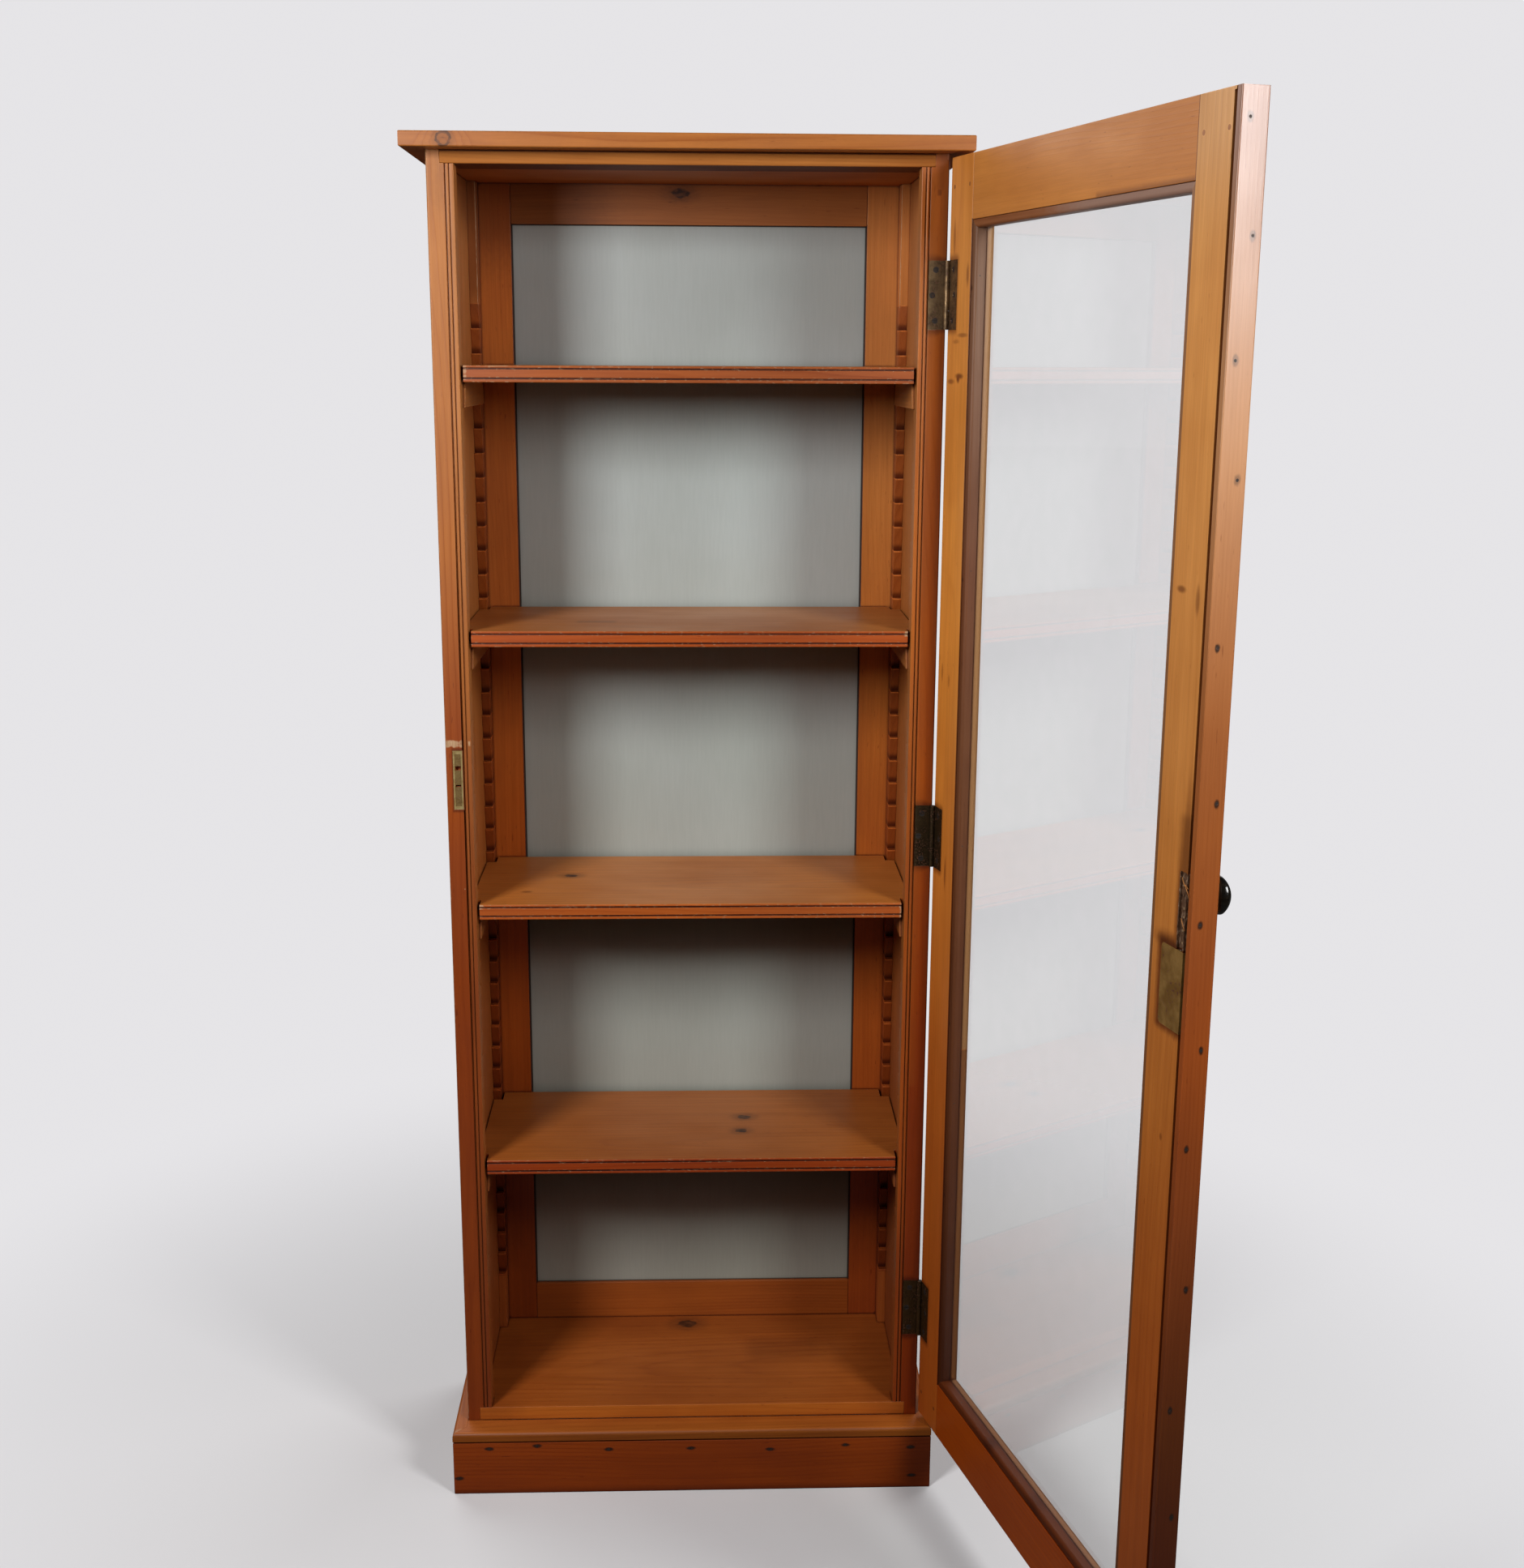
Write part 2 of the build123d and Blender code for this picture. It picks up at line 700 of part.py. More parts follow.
def make_closing_strip():
    strip = door_slab(frame_width, strip_outer, closing_strip_step,
                      door_thickness + closing_strip_step, door_bottom, door_top)
    free_edge = door_edge_x - strip_outer
    arrises = straight_edges(strip, Axis.Z, lambda c: c.X < free_edge + 0.1)
    return without(fillet(arrises, closing_strip_round), strip_nails())


# Hinges


def make_leaf(height, on_door):
    """One leaf with its knuckles: two outer ones on the door, the middle one on the carcass."""
    low, high = height - hinge_length / 2, height + hinge_length / 2
    half = middle_knuckle_length / 2
    gap = knuckle_end_clearance
    middle = (height - half, height + half)
    outer = ((low, height - half - gap), (height + half + gap, high))
    if on_door:
        leaf = slab(pin_x - door_leaf_reach, pin_x, door_face_y - leaf_thickness, door_face_y,
                    low, high)
        own, other = outer, ((middle[0] - gap, middle[1] + gap),)
        bore = pin_radius + pin_running_clearance
        screws = door_screws(slotted=False)
    else:
        leaf = slab(pin_x - carcass_leaf_reach, pin_x, 0, leaf_thickness, low, high)
        own, other = (middle,), ((low, middle[0]), (middle[1], high))
        bore = pin_radius
        screws = carcass_screws(slotted=False)
    for z0, z1 in other:
        leaf -= rod_z(pin_x, pin_y, z0, z1, knuckle_radius + knuckle_clearance)
    for z0, z1 in own:
        leaf += rod_z(pin_x, pin_y, z0, z1, knuckle_radius)
    leaf -= rod_z(pin_x, pin_y, low, high, bore)
    return without(leaf, screws)


def hinge_pin(height):
    return rod_z(pin_x, pin_y, height - hinge_length / 2, height + hinge_length / 2, pin_radius)


def countersunk_screw(slotted):
    """A screw that points along +Y, with the top of its head at the origin."""
    head = Pos(0, 0, -screw_head_depth / 2) * Cone(
        screw_shank_radius, screw_head_radius, screw_head_depth)
    screw = head + Pos(0, 0, -screw_length / 2) * Cylinder(screw_shank_radius, screw_length)
    if slotted:
        screw -= Pos(0, 0, -screw_slot_depth / 2) * Box(
            2 * screw_head_radius, screw_slot_width, screw_slot_depth)
    return Rot(90, 0, 0) * screw


def screw_places():
    """Distance from the pin and height of every screw in one set of leaves."""
    places = []
    for height in hinge_heights:
        places.append((outer_screw_reach, height + outer_screw_rise))
        places.append((middle_screw_reach, height))
        places.append((outer_screw_reach, height - outer_screw_rise))
    return places


def carcass_screws(slotted):
    screw = countersunk_screw(slotted)
    return [Pos(pin_x - reach, 0, z) * screw for reach, z in screw_places()]


def door_screws(slotted):
    screw = Rot(0, 0, 180) * countersunk_screw(slotted)
    return [Pos(pin_x - reach, door_face_y, z) * screw for reach, z in screw_places()]


# Lock, strike plate and knob


def lock_back_plate():
    """The plate in the door's inner face, its two corners away from the edge rounded."""
    plate = door_slab(quirk_start - lock_plate_width, quirk_start, 0, lock_plate_thickness,
                      lock_bottom, lock_top)
    far_side = door_edge_x - quirk_start + lock_plate_width
    corners = straight_edges(plate, Axis.Y, lambda c: c.X > far_side - 0.1)
    return fillet(corners, lock_plate_corner)


def lock_room(margin):
    """The lock case's space behind the plates, grown by a margin."""
    return door_slab(quirk_start - lock_plate_width + lock_case_inset - margin,
                     quirk_start - lock_plate_thickness,
                     lock_plate_thickness, lock_depth + margin,
                     lock_bottom + lock_case_inset - margin,
                     lock_top - lock_case_inset + margin)


def key_pin():
    """The pin that the key turns on, riveted in the plate and the case."""
    return door_rod(quirk_start - key_pin_inset, bolt_bottom - key_pin_below_bolt,
                    0, lock_depth, key_pin_radius)


def make_bolt(margin):
    """The bolt, drawn in so that its end is flush with the lock's edge plate."""
    inner = lock_depth - lock_case_wall
    middle = (lock_plate_thickness + inner) / 2
    half = bolt_thickness / 2 + margin
    return door_slab(quirk_start - bolt_length, quirk_start, middle - half, middle + half,
                     bolt_bottom - margin, bolt_top + margin)


def make_lock_plate():
    """The back plate and the edge plate folded from it, with the bolt's window."""
    plate = lock_back_plate()
    plate += door_slab(quirk_start - lock_plate_thickness, quirk_start, 0, lock_depth,
                       lock_bottom, lock_top)
    return plate - make_bolt(bolt_clearance) - key_pin()


def make_lock_case():
    case = lock_room(0)
    case -= door_slab(quirk_start - lock_plate_width + lock_case_inset + lock_case_wall,
                      quirk_start - lock_plate_thickness,
                      lock_plate_thickness, lock_depth - lock_case_wall,
                      lock_bottom + lock_case_inset + lock_case_wall,
                      lock_top - lock_case_inset - lock_case_wall)
    return case - key_pin()


def strike_slots(depth):
    left = strike_width / 2 - strike_outer - strike_slot_width / 2
    right = left + strike_slot_width
    return [slab(left, right, 0, depth, height - tall / 2, height + tall / 2)
            for height, tall in ((upper_slot, upper_slot_height), (lower_slot, lower_slot_height))]


def make_strike_plate():
    left, right = -strike_outer, strike_width - strike_outer
    low, high = strike_bottom, strike_bottom + strike_height
    plate = slab(left, right, 0, strike_thickness, low, high)
    plate -= slab(left + strike_rim, right - strike_rim, 0, strike_dish,
                  low + strike_rim * 2, high - strike_rim * 2)
    return without(plate, strike_slots(strike_thickness))


def make_knob():
    """A turned knob on the door's outer face, with its spigot in the lock stile."""
    belly = (knob_neck_length + knob_reach) / 2
    crown = knob_reach - belly
    crown_radius = (knob_radius ** 2 + crown ** 2) / (2 * crown)
    neck = (knob_neck_radius, knob_neck_length)
    under = (knob_radius * 0.86, knob_neck_length + (belly - knob_neck_length) * 0.36)
    profile = Polyline((0, knob_reach), (0, -knob_spigot_length),
                       (knob_spigot_radius, -knob_spigot_length), (knob_spigot_radius, 0),
                       (knob_foot_radius, 0), neck)
    profile += ThreePointArc(neck, under, (knob_radius, belly))
    profile += RadiusArc((knob_radius, belly), (0, knob_reach), -crown_radius)
    knob = revolve(make_face(profile), Axis.Y)
    return Pos(door_edge_x - knob_s, door_face_y - door_thickness, knob_z) * Rot(0, 0, 180) * knob


def make_carcass():
    nodes["top_board"] = make_top_board()
    nodes["head_board"] = make_head_board()
    nodes["floor_board"] = make_floor_board()
    nodes["right_side"] = make_right_side()
    nodes["left_side"] = make_left_side()
    make_plinth()
    make_plinth_moulding()
    front_rack = make_front_rack()
    rear_rack = toothed_strip(rear_rack_front, 1)
    nodes["front_rack_right"] = front_rack
    nodes["front_rack_left"] = mirrored(front_rack)
    nodes["rear_rack_right"] = rear_rack
    nodes["rear_rack_left"] = mirrored(rear_rack)
    make_back_frame()
    nodes["strike_plate"] = make_strike_plate()
    nodes["hinge_carcass_leaves"] = Compound(
        children=[make_leaf(height, on_door=False) for height in hinge_heights])
    nodes["hinge_pins"] = Compound(children=[hinge_pin(height) for height in hinge_heights])
    nodes["carcass_hinge_screws"] = Compound(children=carcass_screws(slotted=True))


def make_shelves():
    for number, ledge in enumerate(ledges, start=1):
        bearer = make_bearer(ledge)
        nodes[f"bearer_{number}_right"] = bearer
        nodes[f"bearer_{number}_left"] = mirrored(bearer)
        nodes[f"shelf_{number}"] = make_shelf(ledge)


def make_door():
    """Everything that swings with the door, swung open when it is all made."""
    still = set(nodes)
    make_door_frame()
    make_glazing_beads()
    nodes["glass_pane"] = make_glass()
    nodes["bead_pins"] = Compound(children=bead_pins())
    nodes["door_pegs"] = Compound(children=door_pegs())
    nodes["closing_strip"] = make_closing_strip()
    nodes["closing_strip_nails"] = Compound(children=strip_nails())
    nodes["hinge_door_leaves"] = Compound(
        children=[make_leaf(height, on_door=True) for height in hinge_heights])
    nodes["door_hinge_screws"] = Compound(children=door_screws(slotted=True))
    nodes["lock_plate"] = make_lock_plate()
    nodes["lock_case"] = make_lock_case()
    nodes["lock_key_pin"] = key_pin()
    nodes["lock_bolt"] = make_bolt(0)
    nodes["knob"] = make_knob()
    hinge_axis = Axis((pin_x, pin_y, 0), (0, 0, 1))
    for name in set(nodes) - still:
        nodes[name] = nodes[name].rotate(hinge_axis, door_open_angle)


make_carcass()
make_shelves()
make_door()
os.makedirs("parts", exist_ok=True)
for name, shape in nodes.items():
    export_step(shape, f"parts/{name}.step")
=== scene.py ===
"""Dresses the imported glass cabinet: materials, worn boards, small marks, lamps and camera."""
import json
import math
import random

import bmesh
import bpy
from mathutils import Matrix, Vector


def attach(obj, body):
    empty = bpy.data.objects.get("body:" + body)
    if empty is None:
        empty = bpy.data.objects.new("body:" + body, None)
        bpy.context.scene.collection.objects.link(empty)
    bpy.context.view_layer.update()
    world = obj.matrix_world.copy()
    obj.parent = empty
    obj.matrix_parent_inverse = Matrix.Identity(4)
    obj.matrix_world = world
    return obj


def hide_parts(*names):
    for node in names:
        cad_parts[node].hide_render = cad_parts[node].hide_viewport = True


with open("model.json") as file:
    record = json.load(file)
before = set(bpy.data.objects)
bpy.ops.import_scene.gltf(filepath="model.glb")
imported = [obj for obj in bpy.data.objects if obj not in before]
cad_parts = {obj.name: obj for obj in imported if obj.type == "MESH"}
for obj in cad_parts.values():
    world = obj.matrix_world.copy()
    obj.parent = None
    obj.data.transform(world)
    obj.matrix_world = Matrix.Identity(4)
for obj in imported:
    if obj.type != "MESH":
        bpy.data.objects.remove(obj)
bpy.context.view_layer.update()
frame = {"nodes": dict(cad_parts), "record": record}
nodes = frame["nodes"]

HINGE = Vector((0.293, -0.0012, 0.0))
DOOR_ANGLE = math.radians(105.6)


# Places on the open door

def on_door(s, n, z):
    """The point of the open door that is s from its hinge edge, n into its thickness and z up, in mm."""
    closed = Vector((-0.0015 - s / 1000, -0.0016 - n / 1000, z / 1000))
    return HINGE + Matrix.Rotation(DOOR_ANGLE, 3, "Z") @ closed


# Building node trees

def add(tree, kind, inputs=None, **settings):
    node = tree.nodes.new(kind)
    for key, value in settings.items():
        setattr(node, key, value)
    for key, value in (inputs or {}).items():
        socket = node.inputs[key]
        if isinstance(value, bpy.types.NodeSocket):
            tree.links.new(value, socket)
        else:
            socket.default_value = value
    return node


def maths(tree, operation, a, b=0.0, c=0.0):
    return add(tree, "ShaderNodeMath", {0: a, 1: b, 2: c}, operation=operation).outputs[0]


def vector_maths(tree, operation, a, b=(0.0, 0.0, 0.0)):
    node = add(tree, "ShaderNodeVectorMath", {0: a, 1: b}, operation=operation)
    return node.outputs["Value"] if operation in ("DISTANCE", "LENGTH", "DOT_PRODUCT") else node.outputs[0]


def along_axis(tree, vector, axis):
    return add(tree, "ShaderNodeSeparateXYZ", {"Vector": vector}).outputs[axis]


def ranged(tree, value, low, high, to_low=0.0, to_high=1.0):
    """A smooth step of the value from one range to another, held at the ends."""
    return add(tree, "ShaderNodeMapRange",
               {"Value": value, "From Min": low, "From Max": high, "To Min": to_low, "To Max": to_high},
               interpolation_type="SMOOTHSTEP", clamp=True).outputs[0]


def mix_rgba(tree, factor, a, b, blend="MIX"):
    node = tree.nodes.new("ShaderNodeMix")
    node.data_type = "RGBA"
    node.blend_type = blend
    for index, value in ((0, factor), (6, a), (7, b)):
        if isinstance(value, bpy.types.NodeSocket):
            tree.links.new(value, node.inputs[index])
        elif index == 0:
            node.inputs[index].default_value = value
        else:
            node.inputs[index].default_value = (*value[:3], 1.0)
    return node.outputs[2]


def ramp(tree, value, stops):
    node = add(tree, "ShaderNodeValToRGB", {"Fac": value})
    elements = node.color_ramp.elements
    while len(elements) > 1:
        elements.remove(elements[-1])
    for index, (place, colour) in enumerate(stops):
        element = elements[0] if index == 0 else elements.new(place)
        element.position = place
        element.color = (*colour, 1.0)
    return node.outputs["Color"]


def noise(tree, vector, scale, detail=2.0, roughness=0.5):
    return add(tree, "ShaderNodeTexNoise",
               {"Vector": vector, "Scale": scale, "Detail": detail, "Roughness": roughness}).outputs[0]


def stretched(tree, vector, scales, detail=2.0, roughness=0.5):
    """Noise with its own scale along each axis."""
    return noise(tree, vector_maths(tree, "MULTIPLY", vector, scales), 1.0, detail, roughness)


def strongest(tree, masks):
    total = masks[0]
    for mask in masks[1:]:
        total = maths(tree, "MAXIMUM", total, mask)
    return total


def times(tree, colour, factor, amount=1.0):
    return mix_rgba(tree, amount, colour, factor, "MULTIPLY")


def by_height(tree, up, stops):
    """A colour that changes with the height above the floor, from stops in metres."""
    return ramp(tree, maths(tree, "DIVIDE", up, RAMP_HEIGHT),
                [(height / RAMP_HEIGHT, colour) for height, colour in stops])


def turned_to(tree, axis):
    """A mask of the faces that look along the negative side of one of the model's axes."""
    normal = add(tree, "ShaderNodeTexCoord").outputs["Normal"]
    return ranged(tree, along_axis(tree, normal, axis), -0.85, -0.45, 1.0, 0.0)


def flatness(tree, radius):
    """1 on flat ground and less on arrises of that radius."""
    edge = add(tree, "ShaderNodeBevel", {"Radius": radius}, samples=4).outputs[0]
    return vector_maths(tree, "DOT_PRODUCT", edge, add(tree, "ShaderNodeNewGeometry").outputs["True Normal"])


def openness(tree, reach, samples):
    """1 in the open and less in corners and grooves."""
    return add(tree, "ShaderNodeAmbientOcclusion", {"Distance": reach}, samples=samples).outputs["AO"]


def box_gap(tree, place, low, high, ripple, wobble):
    """Distance from a box, in metres, with a rippled outline."""
    middle = (Vector(low) + Vector(high)) / 2
    half = (Vector(high) - Vector(low)) / 2
    away = vector_maths(tree, "ABSOLUTE", vector_maths(tree, "SUBTRACT", place, middle))
    away = vector_maths(tree, "MAXIMUM", vector_maths(tree, "SUBTRACT", away, half))
    return rippled(tree, vector_maths(tree, "LENGTH", away), ripple, wobble)


def rippled(tree, gap, ripple, wobble):
    return maths(tree, "MULTIPLY_ADD", maths(tree, "SUBTRACT", ripple, 0.5), wobble, gap)


def bumped(tree, height, strength, distance):
    return add(tree, "ShaderNodeBump", {"Strength": strength, "Distance": distance, "Height": height}).outputs[0]


def new_material(name):
    material = bpy.data.materials.new(name)
    material.use_nodes = True
    material.node_tree.nodes.clear()
    return material, material.node_tree


def surface(tree, shader):
    add(tree, "ShaderNodeOutputMaterial", {"Surface": shader})


def coated(tree, **inputs):
    """A Principled surface, with the names of its inputs written with underscores."""
    named = {key.replace("_", " "): value for key, value in inputs.items()}
    surface(tree, add(tree, "ShaderNodeBsdfPrincipled", named).outputs[0])


def grain_space(tree, grain, door):
    """Object coordinates as (across the board, through it, along its grain), in metres."""
    place = add(tree, "ShaderNodeTexCoord").outputs["Object"]
    if door:
        place = add(tree, "ShaderNodeMapping",
                    {"Vector": place, "Location": HINGE, "Rotation": (0.0, 0.0, DOOR_ANGLE)},
                    vector_type="TEXTURE").outputs[0]
    parts = add(tree, "ShaderNodeSeparateXYZ", {"Vector": place}).outputs
    order = {"z": (0, 1, 2), "x": (2, 1, 0), "y": (2, 0, 1)}[grain]
    return place, parts, add(tree, "ShaderNodeCombineXYZ", {i: parts[j] for i, j in enumerate(order)}).outputs[0]


# Wood

RAMP_HEIGHT = 1.7
# Painted light and shade: the pine is darker towards the floor and paler towards the top, as the light falls from
# above.
PINE_SHADE_BY_HEIGHT = (
    (0.00, (0.255, 0.062, 0.0110)),
    (0.20, (0.300, 0.078, 0.0135)),
    (0.59, (0.370, 0.108, 0.0185)),
    (1.01, (0.430, 0.150, 0.0290)),
    (1.43, (0.475, 0.180, 0.0430)),
    (1.68, (0.480, 0.185, 0.0480)),
)
PLAIN = ((0.0, (1.0, 1.0, 1.0)),)
# The dark of wax and dirt, and of painted shade in corners and grooves.
WAX_DIRT_AND_SHADE = (0.22, 0.10, 0.065)
# The colour of stains and of painted shade.
STAIN_AND_SHADE = (0.22, 0.13, 0.09)
BRUISE = (0.20, 0.10, 0.06)
RUST_SPOT = (0.018, 0.008, 0.005)
LOWEST_LEDGE, TOOTH_PITCH, HIGHEST_TOOTH = 0.187, 0.0306, 1.5018


def swayed_radius(tree, board, seeded, pith, drift):
    """Distance from the pith of the tree, which wanders along the board."""
    slow = vector_maths(tree, "MULTIPLY", seeded, (3.0, 3.0, 1.1))
    sway = add(tree, "ShaderNodeTexNoise", {"Vector": slow, "Scale": 1.0, "Detail": 1.0}).outputs["Color"]
    sway = vector_maths(tree, "SUBTRACT", sway, (0.5, 0.5, 0.5))
    sway = vector_maths(tree, "MULTIPLY", sway, (drift * 4, drift * 2, 0.0))
    centre = vector_maths(tree, "ADD", vector_maths(tree, "MULTIPLY", board, (1.0, 1.0, 0.0)), sway)
    radius = vector_maths(tree, "DISTANCE", centre, (pith[0], pith[1], 0.0))
    return maths(tree, "MULTIPLY_ADD", stretched(tree, seeded, (26.0, 26.0, 3.2)), 0.009, radius)


def knotted(tree, board, ripple, radius, knots):
    """The rings' radius, bent round the knots, and the knots' masks. A ringed knot is dark at its rim."""
    masks = []
    for across, depth, along, size, ringed in knots:
        squash = 1.0 if ringed else 0.55
        squashed = vector_maths(tree, "MULTIPLY", board, (1.0, 0.8, squash))
        gap = vector_maths(tree, "DISTANCE", squashed, (across, depth * 0.8, along * squash))
        gap = rippled(tree, gap, ripple, size * 0.7)
        radius = maths(tree, "ADD", radius, ranged(tree, gap, 0.0, size * 5.0, size * 2.4, 0.0))
        if ringed:
            rim = maths(tree, "ABSOLUTE", maths(tree, "SUBTRACT", gap, size))
            masks.append(ranged(tree, rim, size * 0.12, size * 0.34, 0.85, 0.0))
            masks.append(ranged(tree, gap, 0.0, size * 0.5, 0.6, 0.15))
        else:
            masks.append(ranged(tree, gap, size * 0.75, size * 1.25, 1.0, 0.0))
        masks.append(ranged(tree, gap, size, size * 2.8, 0.4, 0.0))
    return radius, masks


def late_wood(tree, radius, spacing, patch):
    """The dark part of each ring, stronger in some places than in others."""
    rings = maths(tree, "FRACT", maths(tree, "DIVIDE", radius, spacing))
    late = ramp(tree, rings, ((0.0, (0.85,) * 3), (0.07, (0.12,) * 3), (0.55, (0.0,) * 3), (0.86, (0.5,) * 3),
                              (0.97, (1.0,) * 3), (1.0, (0.85,) * 3)))
    return maths(tree, "MULTIPLY", late, ranged(tree, patch, 0.25, 0.75, 0.25, 1.0))


def varied(tree, colour, texture, low, high, light, dark, amount):
    return times(tree, colour, mix_rgba(tree, ranged(tree, texture, low, high), light, dark), amount)


def stained_and_shaded(tree, colour, rest, cloud, ripple, stains_and_shade):
    """Dirt and painted shade that fade out from boxes, each (low, high, spread, strength)."""
    masks = []
    for low, high, spread, strength in stains_and_shade:
        gap = rippled(tree, box_gap(tree, rest, low, high, cloud, spread * 0.8), ripple, spread * 0.25)
        masks.append(ranged(tree, gap, 0.0, spread, strength, 0.0))
    return times(tree, colour, STAIN_AND_SHADE, strongest(tree, masks))


def bruised(tree, colour, board, ripple, marks):
    """Small dark marks, each (centre, radii, strength) in the board's own axes."""
    masks = []
    for centre, radii, strength in marks:
        gap = vector_maths(tree, "MULTIPLY", vector_maths(tree, "SUBTRACT", board, centre),
                           [1.0 / radius for radius in radii])
        gap = rippled(tree, vector_maths(tree, "LENGTH", gap), ripple, 0.35)
        masks.append(ranged(tree, gap, 0.6, 2.1, strength, 0.0))
    return times(tree, colour, BRUISE, strongest(tree, masks))


def with_teeth(tree, colour, up, streak):
    """Dark notches and pale ledges of a toothed rack: a darker face, painted shadow in each notch and a painted
    highlight on each ledge.
    """
    phase = maths(tree, "FRACT", maths(tree, "DIVIDE", maths(tree, "SUBTRACT", up, LOWEST_LEDGE), TOOTH_PITCH))
    toothy = ranged(tree, up, LOWEST_LEDGE - 0.003, LOWEST_LEDGE - 0.002)
    toothy = maths(tree, "MULTIPLY", toothy, ranged(tree, up, HIGHEST_TOOTH, HIGHEST_TOOTH + 0.001, 1.0, 0.0))
    # Painted shadow at the bottom of each notch.
    notch_shadow = maths(tree, "MULTIPLY", ranged(tree, phase, 0.0, 0.02), ranged(tree, phase, 0.10, 0.34, 1.0, 0.0))
    colour = times(tree, colour, (0.62, 0.46, 0.38), toothy)
    colour = times(tree, colour, (0.36, 0.26, 0.22), maths(tree, "MULTIPLY", notch_shadow, toothy))
    # Painted highlight along each ledge.
    ledge_highlight = maths(tree, "MULTIPLY", ranged(tree, phase, 0.945, 0.96), toothy)
    ledge_highlight = maths(tree, "MULTIPLY", ledge_highlight, ranged(tree, streak, 0.35, 0.6, 0.25, 0.8))
    return mix_rgba(tree, ledge_highlight, colour, times(tree, colour, (2.3, 2.8, 3.4)))


def spotted(tree, colour, rest, ripple, spots, grain):
    """Rust round nail heads, each (x, y, z, size, stretch along the grain, strength)."""
    masks = []
    for x, y, z, size, stretch, strength in spots:
        scale = [1.0, 1.0, 1.0]
        scale["xyz".index(grain)] = 1.0 / stretch
        gap = vector_maths(tree, "MULTIPLY", vector_maths(tree, "SUBTRACT", rest, (x, y, z)), scale)
        gap = rippled(tree, vector_maths(tree, "LENGTH", gap), ripple, size * 0.8)
        masks.append(ranged(tree, gap, size * 0.6, size * 1.3, strength, 0.0))
    return mix_rgba(tree, strongest(tree, masks), colour, RUST_SPOT)


def frayed(tree, colour, rest, seeded, ripple, torn):
    """Torn fibres in boxes, each (low, high, spread), and their mask."""
    mask = strongest(tree, [ranged(tree, box_gap(tree, rest, low, high, ripple, spread), 0.0, spread, 1.0, 0.0)
                            for low, high, spread in torn])
    fibres = ramp(tree, stretched(tree, seeded, (620.0, 620.0, 190.0), 3.0, 0.7),
                  ((0.36, (0.030, 0.015, 0.009)), (0.46, (0.095, 0.045, 0.022)), (0.58, (0.15, 0.080, 0.046)),
                   (0.66, (0.40, 0.29, 0.20))))
    return mix_rgba(tree, mask, colour, fibres), mask


def scuffed_and_highlighted(tree, colour, rest, ripple, fibre, scuffs_and_highlights):
    """Pale bare wood round boxes, and painted highlights along some arrises, each (low, high, spread, strength)."""
    masks = [ranged(tree, box_gap(tree, rest, low, high, ripple, spread * 3.0), 0.0, spread, strength, 0.0)
             for low, high, spread, strength in scuffs_and_highlights]
    pale = mix_rgba(tree, ranged(tree, fibre, 0.3, 0.7), (0.62, 0.44, 0.26), (0.40, 0.24, 0.12))
    return mix_rgba(tree, strongest(tree, masks), colour, pale)


def jointed(tree, colour, board, ends):
    """Dark lines where a rail's ends meet the stiles."""
    low, high = ends
    along = along_axis(tree, board, 2)
    masks = [ranged(tree, along, low + 0.0004, low + 0.0012, 0.75, 0.0),
             ranged(tree, along, high - 0.0012, high - 0.0004, 0.0, 0.75)]
    return times(tree, colour, (0.25, 0.16, 0.11), strongest(tree, masks))


